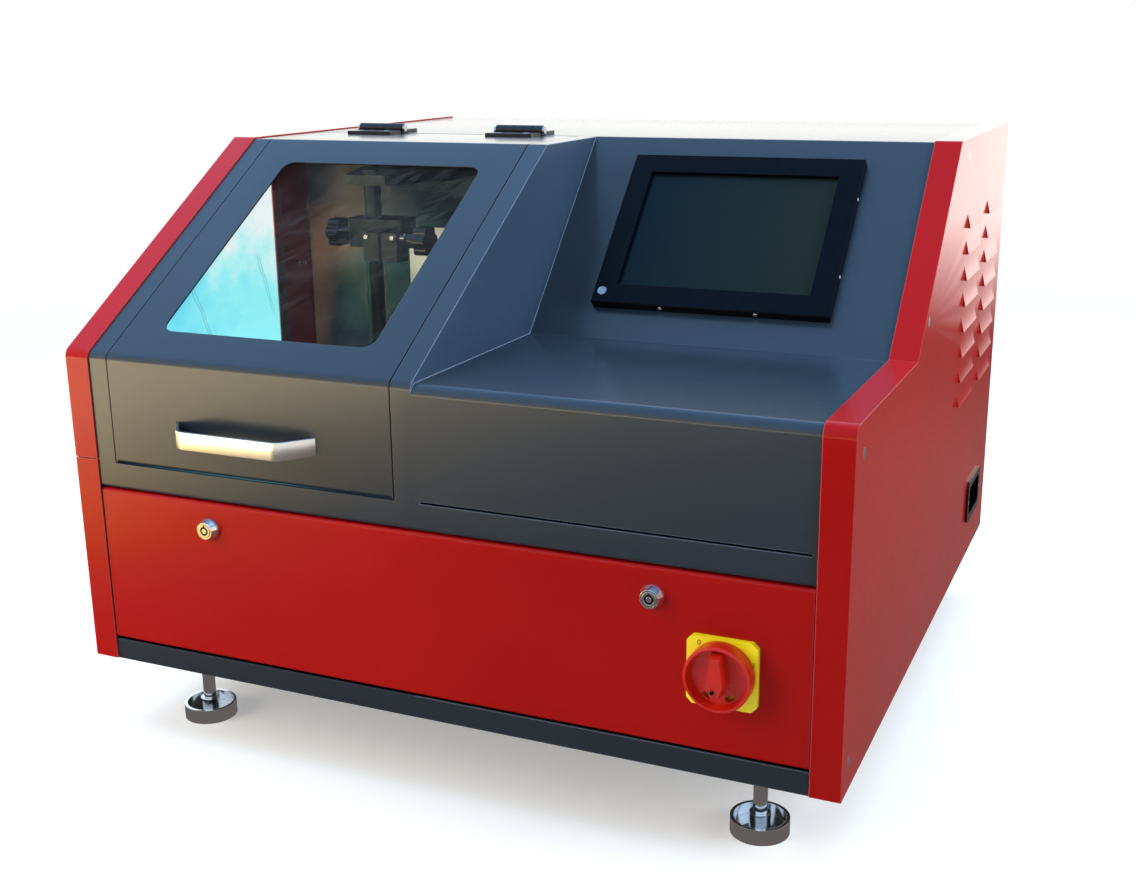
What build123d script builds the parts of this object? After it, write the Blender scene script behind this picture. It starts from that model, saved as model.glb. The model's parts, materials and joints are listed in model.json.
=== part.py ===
import os
from math import atan2, cos, hypot, pi, radians, sin

from build123d import *

os.makedirs("parts", exist_ok=True)

# Common rail injector test bench: a folded steel case on four levelling feet.
# Millimetres, +Z up, the front looks along -Y, +X is to the right.
# The origin is under the middle of the bench, on the floor.

# The case
case_width = 720
case_depth = 700
case_height = 467
ground_clearance = 75
sheet = 1.5
cover_gap = 1.0
band_width = 25
base_height = 20
sill_height = 171
door_sill = 196
fold_height = 295
bay_slope_depth = 271
shelf_depth = 224.5
screen_top_depth = 389
hinge_depth = 390
door_strip = 21
door_width = 290.6
recess_depth_x = 357
fold_radius = 9
bend_radius = 3
crown_radius = 5
screen_crown_radius = 2
return_flange = 16
cut_overrun = 5

# Round the sheets
base_sheet = 2
post_width = 22
post_depth = 20
top_flange = 15
slot_width = 2
slot_height = 195.7
slot_inset = 4
liner_clearance = 0.5
liner_front_gap = 30

# Side covers
cover_split = 197
side_window_front = 45
side_window_rear_run = 57
side_window_bottom = 232
side_window_top = 428
side_window_margin = 38
side_window_radius = 12
pane_thickness = 3
pane_overlap = 10
louvre_length = 80
louvre_rise = 14
louvre_reach = 3.5
louvre_pitch = 25.5
louvre_rows = 8
louvre_low = 204
louvre_front_inset = 253
louvre_rear_inset = 125
louvre_slot = 5
cover_screw_head = 9
cover_screw_sink = 2.5
cover_screw_shank = 4
cover_screw_length = 9
cover_screw_running = 0.05
top_screw_run = 47
top_screw_drop = 14.5
rear_screw_inset = 29
front_screw_inset = 25
front_screw_height = 270
corner_screw_inset = 20
corner_screw_height = 25
low_screw_height = 12
low_screw_share = 0.476
low_rear_screw_inset = 37
face_screw_rise_share = 0.164
right_face_screw_share = 0.252
left_face_screw_inset = 372
inlet_rear_inset = 93
inlet_height = 66
inlet_width = 74
inlet_rise = 41
inlet_border = 3
inlet_running = 0.2
inlet_wall = 4
inlet_body_depth = 32
inlet_lip = 2.5
inlet_corner = 8
inlet_recess = 20
inlet_pin_height = 5
inlet_pin_thick = 2
inlet_pin_length = 14
inlet_pin_pitch = 14

# Chamber door
door_flange = 12
window_margin_left = 38
window_width = 219
window_low = 37
window_top_margin = 37
window_radius = 12
handle_hole_pitch = 136
handle_left = 122
handle_height = 233
handle_tall = 16
handle_thick = 4
handle_reach = 27
handle_leg_run = 18
handle_foot = 12
handle_radius = 5

# Door hinges
hinge_length = 52
left_hinge_x = 106
right_hinge_x = 271
hinge_leaf_depth = 24
hinge_leaf_thick = 3.5
hinge_barrel = 10
hinge_pin = 4
hinge_pin_clearance = 0.1
hinge_lift = 0.3
hinge_knuckles = 5
hinge_knuckle_gap = 0.4
hinge_pin_head = 7
hinge_pin_head_rise = 2.5

# Lower front panel, its locks and the main switch
panel_flange = 18
panel_pivot = 4
panel_pin = 4
panel_pin_length = 12
panel_top_gap = 1.4
pivot_clearance = 0.2
left_lock_x = 145
right_lock_inset = 154
lock_height = 145
lock_rim = 21.5
lock_rim_edge = 1.5
lock_head_rise = 8
lock_face = 15.5
lock_body = 18.8
lock_body_length = 18
lock_nut = 24
lock_nut_rise = 4
lock_plug = 12
lock_plug_rise = 0.5
lock_running = 0.15
cam_length = 42
cam_width = 15
cam_thick = 2
key_ring = 8.2
key_pin = 4.8
key_notch = 1.6
key_depth = 3
switch_inset = 95.3
switch_z = 92
switch_plate = 57
switch_plate_rise = 5
switch_plate_chamfer = 4.5
dial_diameter = 54
dial_rise = 14
dial_rim = 2.5
dial_dish = 8
dial_running = 0.3
grip_rise = 13
grip_taper = 9
grip_top = 22
grip_top_width = 11
grip_waist = -3
grip_waist_width = 17
grip_low = -14
grip_low_width = 9
switch_shaft = 8
switch_shaft_running = 0.25
switch_body_side = 50
switch_body_depth = 46
padlock_slot = 4.5
padlock_slot_length = 8
padlock_slot_radius = 19
padlock_slot_angle = 28

# Console screen
bezel_middle_share = 0.497
bezel_width_share = 0.669
bezel_low = 34.5
bezel_height = 175
bezel_rise = 9.5
bezel_lip = 21.3
bezel_edge_radius = 1.5
bezel_edge_chamfer = 1
screen_recess = 4
screen_glass = 3
screen_gap = 0.1
monitor_margin = 14
monitor_depth = 46
monitor_wall = 1.2

# Test chamber
tray_height = 187
tray_lip = 12
tray_front_lip = 7
tray_side_gap = 2
drain_bore = 26
drain_pipe = 30
drain_length = 28
drain_x = 190
drain_y = 150
post_x = 172
post_slope_run = 16
clamp_post_diameter = 18
clamp_post_top = 441
post_foot = 44
post_foot_rise = 6
bracket_low = 426
bracket_rise = 10
bracket_width = 110
bracket_nose = 44
access_left = 133
access_low = 262
access_width = 150
access_height = 105
access_thick = 1.5

# Injector clamp
carriage_left = 20
carriage_right = 41
carriage_half_depth = 16
carriage_low = 366
carriage_rise = 28
post_running = 0.15
jaw_front_gap = 0.3
jaw_depth = 22
jaw_width = 17
jaw_gap = 3.5
jaw_low = 356
jaw_rise = 28
jaw_offset = 11
jaw_notch = 8.5
jaw_notch_share = 0.66
jaw_screw_share = 0.21
jaw_travel = 2.5
jaw_tongue = 6
jaw_screw_depth = 14
jaw_screw_height = 376
knob_screw = 6
knob_screw_running = 0.2
knob_hub = 16
knob_hub_length = 12
knob_star = 30
knob_star_thick = 13
knob_lobes = 6
knob_lobe_radius = 5.5
knob_washer = 14
knob_washer_thick = 2
knob_seat_gap = 0.3
lock_knob_height = 378

# Drive and high-pressure pump
drive_depth_share = 0.543
drive_height = 118
motor_left = 110
motor_length = 210
motor_radius = 64
motor_fin_rise = 8
motor_fin_thick = 3
motor_fins = 20
motor_end_length = 24
motor_end_radius = 60
motor_foot_width = 150
motor_foot_length = 30
motor_foot_spread = 90
motor_foot_rise = 60
terminal_side = 70
terminal_rise = 36
shaft_radius = 12
shaft_running = 0.1
shaft_seat_depth = 40
shaft_plate_clearance = 3
shaft_end_gap = 4
coupling_radius = 34
coupling_waist = 28
coupling_length = 78
coupling_waist_length = 14
coupling_gap = 6
pump_plate_thick = 12
pump_plate_width = 150
pump_plate_height = 190
pump_flange_radius = 58
pump_flange_thick = 14
pump_body_radius = 42
pump_body_length = 74
pump_head_radius = 17
pump_head_reach = 62
pump_head_share = 0.35
pump_heads = 3
pump_port_share = 0.82
pump_port_rise = 12

# Common rail and its pipes
rail_left = 84
rail_length = 300
rail_radius = 16
rail_height = 360
rail_stand = 34
rail_ports = 4
rail_port_radius = 7
rail_port_length = 14
rail_port_pitch = 52
rail_port_inset = 72
rail_clamp_inset = 36
rail_clamp_width = 24
rail_clamp_wall = 7
plug_hex = 17
plug_rise = 8
sensor_hex = 24
sensor_hex_length = 12
sensor_radius = 10
sensor_length = 46
valve_radius = 15
valve_length = 40
valve_plug_radius = 10
valve_plug_length = 14
pipe_diameter = 6
pipe_bend = 16
pipe_nut = 17
pipe_nut_length = 14
pump_pipe_drop = 26
outlet_x = 312
outlet_height = 300
outlet_radius = 7
outlet_length = 16
outlet_hex = 22
outlet_hex_rise = 8
outlet_rear = 12

# Fuel tank and filter
tank_left = 45
tank_width = 280
tank_front = 90
tank_depth = 260
tank_rise = 120
tank_radius = 16
tank_wall = 1.5
tank_foot_rise = 4
tank_foot_width = 30
tank_foot_inset = 40
tank_neck_radius = 20
tank_neck_bore = 17.5
tank_neck_rise = 36
tank_lid_radius = 42
tank_lid_rise = 5
tank_lid_inset = 70
tank_spout = 6
tank_spout_rise = 16
filter_x = 140
filter_height = 275
filter_radius = 38
filter_length = 72
filter_boss_radius = 28
filter_boss_rise = 8
filter_head_width = 70
filter_head_rise = 26
filter_stand = 52
filter_nipple = 5
filter_nipple_length = 18

# Cooling fan
fan_inset = 165
fan_height = 330
fan_side = 120
fan_depth = 38
fan_bore = 57
fan_hub = 20
fan_hub_depth = 8
fan_tip_gap = 2.5
fan_blades = 7
fan_blade_thick = 2.5
fan_blade_chord = 26
fan_blade_tilt = 38
fan_rotor_depth = 22
fan_rotor_gap = 0.8
fan_spindle = 3
fan_spindle_running = 0.1
fan_strut = 6
fan_struts = 4
fan_corner_radius = 6
guard_wire = 2.5
guard_rings = 4
guard_bar_length = 144
guard_reach = 5
vent_slot_length = 70
vent_slot_width = 6
vent_slots = 6
vent_pitch = 18
vent_x = 190
vent_height = 300

# Electrics
inverter_inset = 180
inverter_front = 330
inverter_width = 118
inverter_depth = 108
inverter_rise = 185
inverter_fin = 3
inverter_fins = 8
inverter_fin_depth = 22
supply_left = 395
supply_front = 110
supply_width = 110
supply_depth = 200
supply_rise = 50
supply_wall = 1.2
supply_terminal_depth = 14
supply_terminal_rise = 18
board_front = 70
board_low = 60
board_depth = 150
board_rise = 100
board_thick = 1.6
board_standoff = 12
board_standoff_radius = 4
board_inset = 8
board_chip = 30
board_chip_rise = 6

# Levelling feet
foot_inset_x = 80
foot_inset_y = 60
foot_stud = 12
foot_stud_top = 62
foot_pad_radius = 25
foot_pad_rise = 14
foot_pad_floor = 4
foot_rim = 3
foot_neck_radius = 9
foot_neck_rise = 14
foot_nut = 19
foot_nut_rise = 8
foot_nut_running = 0.12

# Where the case lies
left = -(case_width + louvre_reach) / 2
right = left + case_width
front = -(case_depth + guard_reach - handle_reach) / 2
back = front + case_depth
bottom = ground_clearance
top = bottom + case_height
recess_x = left + recess_depth_x
door_left = left + band_width + door_strip
door_right = door_left + door_width
hinge_y = front + hinge_depth
hinge_z = top + hinge_lift + hinge_barrel / 2

# The two outlines of the case, seen from the side
bay_angle = atan2(case_height - fold_height, bay_slope_depth)
screen_angle = atan2(case_height - fold_height, screen_top_depth - shelf_depth)
bay_outline = [
    (front, bottom),
    (front, bottom + fold_height),
    (front + bay_slope_depth, top),
    (back, top),
    (back, bottom),
]
bay_radii = [fold_radius, crown_radius, bend_radius]
console_outline = [
    (front, bottom),
    (front, bottom + fold_height),
    (front + shelf_depth, bottom + fold_height),
    (front + screen_top_depth, top),
    (back, top),
    (back, bottom),
]
console_radii = [fold_radius, bend_radius, screen_crown_radius, bend_radius]


def side_plane(x):
    """A plane seen from the right: local x runs back, local y runs up."""
    return Plane.YZ.offset(x)


def front_plane(y):
    """A plane seen from the front: local x runs right, local y runs up."""
    return Plane(origin=(0, y, 0), x_dir=(1, 0, 0), z_dir=(0, -1, 0))


def bay_plane():
    """The sloping face of the chamber door, from its front fold."""
    z_dir = (0, -sin(bay_angle), cos(bay_angle))
    return Plane(origin=(0, front, bottom + fold_height), x_dir=(1, 0, 0), z_dir=z_dir)


def screen_plane():
    """The sloping face of the console that carries the screen."""
    origin = (0, front + shelf_depth, bottom + fold_height)
    z_dir = (0, -sin(screen_angle), cos(screen_angle))
    return Plane(origin=origin, x_dir=(1, 0, 0), z_dir=z_dir)


def save(part, name):
    part.label = name
    export_step(part, "parts/" + name + ".step")


def closed_outline(points, radii):
    """A closed face from a folded outline, open along its foot."""
    with BuildSketch() as outline:
        with BuildLine():
            FilletPolyline(*points, radius=radii)
            Line(points[-1], points[0])
        make_face()
    return outline.sketch


def folded_strip(points, radii, thickness):
    """The cross-section of a sheet folded along the given outer points."""
    with BuildSketch() as strip:
        with BuildLine():
            FilletPolyline(*points, radius=radii)
            offset(amount=thickness, side=Side.RIGHT)
        make_face()
    return strip.sketch


def block(x, y, z, mode=Mode.ADD):
    """A box from its low and high values along each axis."""
    with Locations((x[0], y[0], z[0])):
        corner = (Align.MIN, Align.MIN, Align.MIN)
        Box(x[1] - x[0], y[1] - y[0], z[1] - z[0], align=corner, mode=mode)


def rod(place, direction, radius, length, mode=Mode.ADD):
    """A round bar or bore from one end, along a direction."""
    with Locations(Plane(origin=place, z_dir=direction)):
        foot = (Align.CENTER, Align.CENTER, Align.MIN)
        Cylinder(radius, length, align=foot, mode=mode)


to_front = (0, -1, 0)
to_back = (0, 1, 0)
to_right = (1, 0, 0)
to_left = (-1, 0, 0)
to_top = (0, 0, 1)
to_floor = (0, 0, -1)

# Places that several pieces share
inner_left = left + sheet
inner_right = right - sheet
fold_z = bottom + fold_height
sill_z = bottom + sill_height
door_z = bottom + door_sill
floor_z = bottom + base_sheet
tray_z = bottom + tray_height
wall_y = hinge_y + cover_gap / 2 + sheet
wall_back_y = wall_y + sheet
panel_left = left + band_width + cover_gap
panel_right = right - band_width - cover_gap
panel_low = bottom + base_height + cover_gap
panel_high = sill_z - panel_top_gap
pivot_y = front + panel_pivot
pivot_z = panel_low + panel_pivot
foot_places = [
    (x, y)
    for y in (front + foot_inset_y, back - foot_inset_y)
    for x in (left + foot_inset_x, right - foot_inset_x)
]
top_screw_height = case_height - top_screw_drop
rim_screw_places = [
    (screen_top_depth + top_screw_run, top_screw_height),
    (case_depth - rear_screw_inset, top_screw_height),
    (front_screw_inset, front_screw_height),
    (corner_screw_inset, corner_screw_height),
    (case_depth * low_screw_share, low_screw_height),
    (case_depth - low_rear_screw_inset, low_screw_height),
]
face_screw_height = fold_height + (case_height - fold_height) * face_screw_rise_share
right_face_run = (screen_top_depth - shelf_depth) * right_face_screw_share
right_screw_places = rim_screw_places + [(shelf_depth + right_face_run, face_screw_height)]
left_screw_places = rim_screw_places + [(left_face_screw_inset, face_screw_height)]
hinge_centres = (left_hinge_x, right_hinge_x)
lock_places = (left_lock_x, case_width - right_lock_inset)
louvre_insets = (louvre_front_inset, louvre_rear_inset)
drive_y = wall_back_y + (back - wall_back_y) * drive_depth_share
drive_z = bottom + drive_height
motor_x = left + motor_left
motor_end_x = motor_x + motor_length
coupling_x = motor_end_x + coupling_gap
coupling_end_x = coupling_x + coupling_length
pump_plate_x = coupling_end_x + coupling_gap
pump_x = pump_plate_x + pump_plate_thick
screw_slope_share = (cover_screw_head - cover_screw_shank) / 2 / cover_screw_sink
screw_hole_radius = cover_screw_head / 2 - screw_slope_share * sheet + pivot_clearance


def side_screw_holes(x, direction, places):
    """Clearance holes for one side's cover screws, through what lies behind it."""
    for depth, height in places:
        start = (x, front + depth, bottom + height)
        rod(start, direction, screw_hole_radius, post_width, Mode.SUBTRACT)


# Base frame: a shallow folded tray with four welded channel posts
with BuildPart() as base_frame:
    block((inner_left, inner_right), (front, back), (bottom, bottom + base_height))
    block(
        (inner_left + base_sheet, inner_right - base_sheet),
        (front + base_sheet, back - base_sheet),
        (floor_z, bottom + base_height + cut_overrun),
        Mode.SUBTRACT,
    )
    for post_low_x in (inner_left, inner_right - post_width):
        post_x_span = (post_low_x, post_low_x + post_width)
        core_x_span = (post_low_x + base_sheet, post_low_x + post_width - base_sheet)
        block(post_x_span, (front, front + post_depth), (bottom, sill_z))
        block(
            core_x_span,
            (front + base_sheet, front + post_depth + cut_overrun),
            (floor_z, sill_z + cut_overrun),
            Mode.SUBTRACT,
        )
        rear_y = back - sheet
        block(post_x_span, (rear_y - post_depth, rear_y), (bottom, top - sheet))
        block(
            core_x_span,
            (rear_y - post_depth - cut_overrun, rear_y - base_sheet),
            (floor_z, top),
            Mode.SUBTRACT,
        )
    rod(
        (inner_left - cut_overrun, pivot_y, pivot_z),
        to_right,
        panel_pin / 2 + pivot_clearance,
        case_width + cut_overrun,
        Mode.SUBTRACT,
    )
    for x, y in foot_places:
        hole_radius = foot_stud / 2 + foot_nut_running
        rod((x, y, bottom - cut_overrun), to_top, hole_radius, base_height, Mode.SUBTRACT)
    side_screw_holes(left, to_right, left_screw_places)
    side_screw_holes(right, to_left, right_screw_places)
    # The pump's upright plate is welded to the floor
    block(
        (pump_plate_x, pump_plate_x + pump_plate_thick),
        (drive_y - pump_plate_width / 2, drive_y + pump_plate_width / 2),
        (floor_z, floor_z + pump_plate_height),
    )
    start = (pump_plate_x - cut_overrun, drive_y, drive_z)
    plate_hole = shaft_radius + shaft_plate_clearance
    rod(start, to_right, plate_hole, pump_plate_thick + 2 * cut_overrun, Mode.SUBTRACT)
save(base_frame.part, "base_frame")

# Console cover: the dark folded shell with the door opening, the recessed
# shelf and the sloping screen panel
bay_fold = [
    (front + return_flange, sill_z),
    (front, sill_z),
    (front, fold_z),
    (front + bay_slope_depth, top),
    (hinge_y, top),
]
console_fold = [
    (front + return_flange, sill_z),
    (front, sill_z),
    (front, fold_z),
    (front + shelf_depth, fold_z),
    (front + screen_top_depth, top),
    (hinge_y, top),
]
console_width = right - band_width - recess_x
bezel_width = console_width * bezel_width_share
bezel_middle_x = recess_x + console_width * bezel_middle_share
bezel_middle_s = bezel_low + bezel_height / 2
monitor_width = bezel_width - 2 * monitor_margin
monitor_height = bezel_height - 2 * monitor_margin
bay_face = closed_outline(bay_outline, bay_radii)
console_face = closed_outline(console_outline, console_radii)
bay_middle = offset(bay_face, amount=-sheet / 2)
console_middle = offset(console_face, amount=-sheet / 2)
with BuildPart() as console_cover:
    with BuildSketch(side_plane(inner_left)):
        add(folded_strip(bay_fold, [bend_radius, fold_radius, crown_radius], sheet))
    extrude(amount=recess_x - inner_left)
    with BuildSketch(side_plane(recess_x - sheet)):
        radii = [bend_radius, fold_radius, bend_radius, screen_crown_radius]
        add(folded_strip(console_fold, radii, sheet))
    extrude(amount=inner_right - recess_x + sheet)
    with BuildSketch(side_plane(recess_x - sheet)):
        add(bay_middle)
        add(console_middle, mode=Mode.SUBTRACT)
    extrude(amount=sheet)
    # The door opening leaves a narrow strip each side and a band below
    block(
        (door_left - cover_gap, door_right + cover_gap),
        (front - cut_overrun, hinge_y + cut_overrun),
        (door_z - cover_gap, top + cut_overrun),
        Mode.SUBTRACT,
    )
    # The flange under the front ends clear of the side covers' posts
    for flange_x in (inner_left, inner_right - post_width):
        block(
            (flange_x, flange_x + post_width),
            (front + sheet, front + return_flange + cut_overrun),
            (sill_z, sill_z + bend_radius + sheet),
            Mode.SUBTRACT,
        )
    slot_left = recess_x + slot_inset
    slot_right = right - band_width - slot_inset
    with BuildSketch(front_plane(front + cut_overrun)):
        with Locations(((slot_left + slot_right) / 2, bottom + slot_height)):
            SlotOverall(slot_right - slot_left, slot_width)
    extrude(amount=2 * cut_overrun, mode=Mode.SUBTRACT)
    with BuildSketch(screen_plane().offset(-cut_overrun)):
        with Locations((bezel_middle_x, bezel_middle_s)):
            Rectangle(monitor_width + cover_gap, monitor_height + cover_gap)
    extrude(amount=2 * cut_overrun, mode=Mode.SUBTRACT)
save(console_cover.part, "console_cover")

# Top cover: a flat sheet folded down along its front and back
cover_front_y = hinge_y + cover_gap / 2
top_fold = [
    (cover_front_y, top - top_flange),
    (cover_front_y, top),
    (back, top),
    (back, top - top_flange),
]
with BuildPart() as top_cover:
    with BuildSketch(side_plane(inner_left)):
        add(folded_strip(top_fold, [bend_radius, bend_radius], sheet))
    extrude(amount=inner_right - inner_left)
    for notch_x in (inner_left, inner_right - post_width):
        block(
            (notch_x, notch_x + post_width),
            (back - sheet - bend_radius, back + cut_overrun),
            (top - top_flange - cut_overrun, top - sheet),
            Mode.SUBTRACT,
        )
save(top_cover.part, "top_cover")

# Back panel with the fan opening and a set of air slots
fan_centre_x = right - fan_inset
fan_centre_z = bottom + fan_height
with BuildPart() as back_panel:
    block(
        (inner_left, inner_right),
        (back - sheet, back),
        (bottom + base_height + cover_gap / 2, top - top_flange - cover_gap / 2),
    )
    rod(
        (fan_centre_x, back - cut_overrun, fan_centre_z),
        to_back,
        fan_bore,
        2 * cut_overrun,
        Mode.SUBTRACT,
    )
    with BuildSketch(front_plane(back + cut_overrun)):
        with Locations((left + vent_x, bottom + vent_height)):
            with GridLocations(vent_slot_length, vent_pitch, 1, vent_slots):
                SlotOverall(vent_slot_length, vent_slot_width)
    extrude(amount=2 * cut_overrun, mode=Mode.SUBTRACT)
save(back_panel.part, "back_panel")


def cover_screw(x, turn, depth, height):
    """One countersunk screw, its head flush with the outside of a cover."""
    head = cover_screw_head / 2
    shank = cover_screw_shank / 2
    place = Plane(
        origin=(x, front + depth, bottom + height), x_dir=(0, 1, 0), z_dir=(turn, 0, 0)
    )
    with BuildPart() as screw:
        with BuildSketch(Plane.XZ):
            with BuildLine():
                Polyline(
                    (0, 0),
                    (head, 0),
                    (shank, -cover_screw_sink),
                    (shank, -cover_screw_length),
                    (0, -cover_screw_length),
                    close=True,
                )
            make_face()
        revolve(axis=Axis.Z)
    return place * screw.part


def screw_cone_holes(x, turn, places):
    """Countersunk holes for the cover screws of one side."""
    mouth = cover_screw_head / 2 + cover_screw_running
    throat = mouth - screw_slope_share * sheet
    foot = (Align.CENTER, Align.CENTER, Align.MIN)
    for depth, height in places:
        start = (x, front + depth, bottom + height)
        with Locations(Plane(origin=start, z_dir=(-turn, 0, 0))):
            Cone(mouth, throat, sheet, align=foot, mode=Mode.SUBTRACT)


def side_tray(x_outer, turn, face):
    """A side sheet with its rim folded inwards, over the whole case."""
    grown_face = offset(face, amount=sheet)
    with BuildPart() as tray:
        with BuildSketch(side_plane(x_outer)):
            add(grown_face)
        extrude(amount=-turn * band_width)
        with BuildSketch(side_plane(x_outer - turn * sheet)):
            add(face)
        extrude(amount=-turn * band_width, mode=Mode.SUBTRACT)
        block(
            (x_outer - band_width - sheet, x_outer + band_width + sheet),
            (front - 2 * sheet, back + 2 * sheet),
            (bottom - 2 * sheet, bottom),
            Mode.SUBTRACT,
        )
    return tray.part


# Right side cover, with two columns of pressed louvres and the inlet cut-out
right_tray = side_tray(right, 1, console_face)
with BuildPart() as right_side_cover:
    add(right_tray)
    screw_cone_holes(right, 1, right_screw_places)
    inlet_y = back - inlet_rear_inset
    inlet_z = bottom + inlet_height
    with BuildSketch(side_plane(right - cut_overrun)):
        with Locations((inlet_y, inlet_z)):
            RectangleRounded(inlet_width, inlet_rise, bend_radius)
    extrude(amount=2 * cut_overrun, mode=Mode.SUBTRACT)
    louvre_places = [
        (back - inset, bottom + louvre_low + row * louvre_pitch)
        for inset in louvre_insets
        for row in range(louvre_rows)
    ]
    # A hood stands out of the sheet over each slot and is open below
    for hood_y, hood_z in louvre_places:
        with BuildSketch(side_plane(right - sheet)):
            with Locations((hood_y + louvre_length / 2, hood_z + louvre_slot / 2)):
                Rectangle(louvre_length - 2 * sheet, louvre_slot)
        extrude(amount=2 * sheet, mode=Mode.SUBTRACT)
        with BuildSketch(Plane.XZ.offset(-hood_y)):
            with BuildLine():
                Polyline(
                    (right, hood_z + louvre_rise),
                    (right + louvre_reach, hood_z),
                    (right + louvre_reach - sheet / 2, hood_z),
                    (right, hood_z + louvre_rise - 2 * sheet),
                    close=True,
                )
            make_face()
        extrude(amount=-louvre_length)
        for end_y in (hood_y, hood_y + louvre_length - sheet):
            with BuildSketch(Plane.XZ.offset(-end_y)):
                with BuildLine():
                    Polyline(
                        (right, hood_z + louvre_rise),
                        (right + louvre_reach, hood_z),
                        (right, hood_z),
                        close=True,
                    )
                make_face()
            extrude(amount=-sheet)
save(right_side_cover.part, "right_side_cover")

# Left side cover, in two pieces, the upper one with the chamber's side window
window_rise_share = (top - fold_z) / bay_slope_depth
margin_drop = side_window_margin / cos(bay_angle)


def window_front_z(depth):
    """Height of the side window's sloping edge at a depth behind the front."""
    return fold_z + depth * window_rise_share - margin_drop


upper_depth = (bottom + side_window_top - window_front_z(0)) / window_rise_share
side_window_rear = bay_slope_depth + side_window_rear_run
side_window_points = [
    (front + side_window_front, bottom + side_window_bottom),
    (front + side_window_front, window_front_z(side_window_front)),
    (front + upper_depth, bottom + side_window_top),
    (front + side_window_rear, bottom + side_window_top),
    (front + side_window_rear, bottom + side_window_bottom),
]


with BuildSketch() as side_window_face:
    with BuildLine():
        Polyline(*side_window_points, close=True)
    make_face()
    fillet(side_window_face.vertices(), side_window_radius)
side_pane_face = offset(side_window_face.sketch, amount=pane_overlap)

left_tray = side_tray(left, -1, bay_face)
split_z = bottom + cover_split
side_span = (left - band_width, left + band_width + sheet)
depth_span = (front - 2 * sheet, back + 2 * sheet)
with BuildPart() as left_upper_cover:
    add(left_tray)
    below = (bottom - 2 * sheet, split_z + cover_gap / 2)
    block(side_span, depth_span, below, Mode.SUBTRACT)
    screw_cone_holes(left, -1, left_screw_places)
    with BuildSketch(side_plane(left - cut_overrun)):
        add(side_window_face.sketch)
    extrude(amount=2 * cut_overrun, mode=Mode.SUBTRACT)
save(left_upper_cover.part, "left_upper_cover")

with BuildPart() as left_lower_cover:
    add(left_tray)
    above = (split_z - cover_gap / 2, top + 2 * sheet)
    block(side_span, depth_span, above, Mode.SUBTRACT)
    screw_cone_holes(left, -1, left_screw_places)
save(left_lower_cover.part, "left_lower_cover")

with BuildPart() as left_side_window:
    with BuildSketch(side_plane(inner_left)):
        add(side_pane_face)
    extrude(amount=pane_thickness)
save(left_side_window.part, "left_side_window")

screws = [
    cover_screw(x, turn, depth, height)
    for x, turn, places in ((right, 1, right_screw_places), (left, -1, left_screw_places))
    for depth, height in places
]
with BuildPart() as cover_screws:
    add(screws)
save(cover_screws.part, "cover_screws")

# Chamber door: one folded lid over the front, the slope and part of the top
door_fold = [
    (front + door_flange, door_z),
    (front, door_z),
    (front, fold_z),
    (front + bay_slope_depth, top),
    (hinge_y - cover_gap / 2, top),
    (hinge_y - cover_gap / 2, top - door_flange),
]
door_radii = [bend_radius, fold_radius, crown_radius, bend_radius]
door_sheet_face = folded_strip(door_fold, door_radii, sheet)
door_end_face = folded_strip(door_fold[1:-1], door_radii[1:-1], door_flange)
bay_slope_length = hypot(bay_slope_depth, case_height - fold_height)
window_high = bay_slope_length - window_top_margin
window_centre = (
    door_left + window_margin_left + window_width / 2,
    (window_low + window_high) / 2,
)
handle_z = bottom + handle_height
handle_foot_places = (left + handle_left, left + handle_left + handle_hole_pitch)
with BuildPart() as chamber_door:
    with BuildSketch(side_plane(door_left)):
        add(door_sheet_face)
    extrude(amount=door_width)
    for end_x in (door_left, door_right - sheet):
        with BuildSketch(side_plane(end_x)):
            add(door_end_face)
        extrude(amount=sheet)
    with BuildSketch(bay_plane().offset(-cut_overrun)):
        with Locations(window_centre):
            RectangleRounded(window_width, window_high - window_low, window_radius)
    extrude(amount=2 * cut_overrun, mode=Mode.SUBTRACT)
save(chamber_door.part, "chamber_door")

with BuildPart() as door_window:
    with BuildSketch(bay_plane().offset(-sheet - pane_thickness)):
        with Locations(window_centre):
            RectangleRounded(
                window_width + 2 * pane_overlap,
                window_high - window_low + 2 * pane_overlap,
                window_radius,
            )
    extrude(amount=pane_thickness)
save(door_window.part, "door_window")

# Door handle: a flat bow with slanting legs on two small feet
with BuildPart() as door_handle:
    with BuildSketch(Plane.XY.offset(handle_z - handle_tall / 2)):
        with BuildLine():
            FilletPolyline(
                (handle_foot_places[0] - handle_foot / 2, front),
                (handle_foot_places[0] + handle_leg_run, front - handle_reach),
                (handle_foot_places[1] - handle_leg_run, front - handle_reach),
                (handle_foot_places[1] + handle_foot / 2, front),
                radius=handle_radius,
            )
            offset(amount=handle_thick, side=Side.LEFT)
        make_face()
        for foot_x in handle_foot_places:
            with Locations((foot_x, front - handle_foot / 4)):
                Rectangle(handle_foot, handle_foot / 2)
    extrude(amount=handle_tall)
    block(
        (left, right),
        (front, front + handle_reach),
        (handle_z - handle_tall, handle_z + handle_tall),
        Mode.SUBTRACT,
    )
save(door_handle.part, "door_handle")

# Two black butt hinges on top, each with knuckles, leaves and a plain pin
knuckle_pitch = hinge_length / hinge_knuckles
barrel_radius = hinge_barrel / 2


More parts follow.
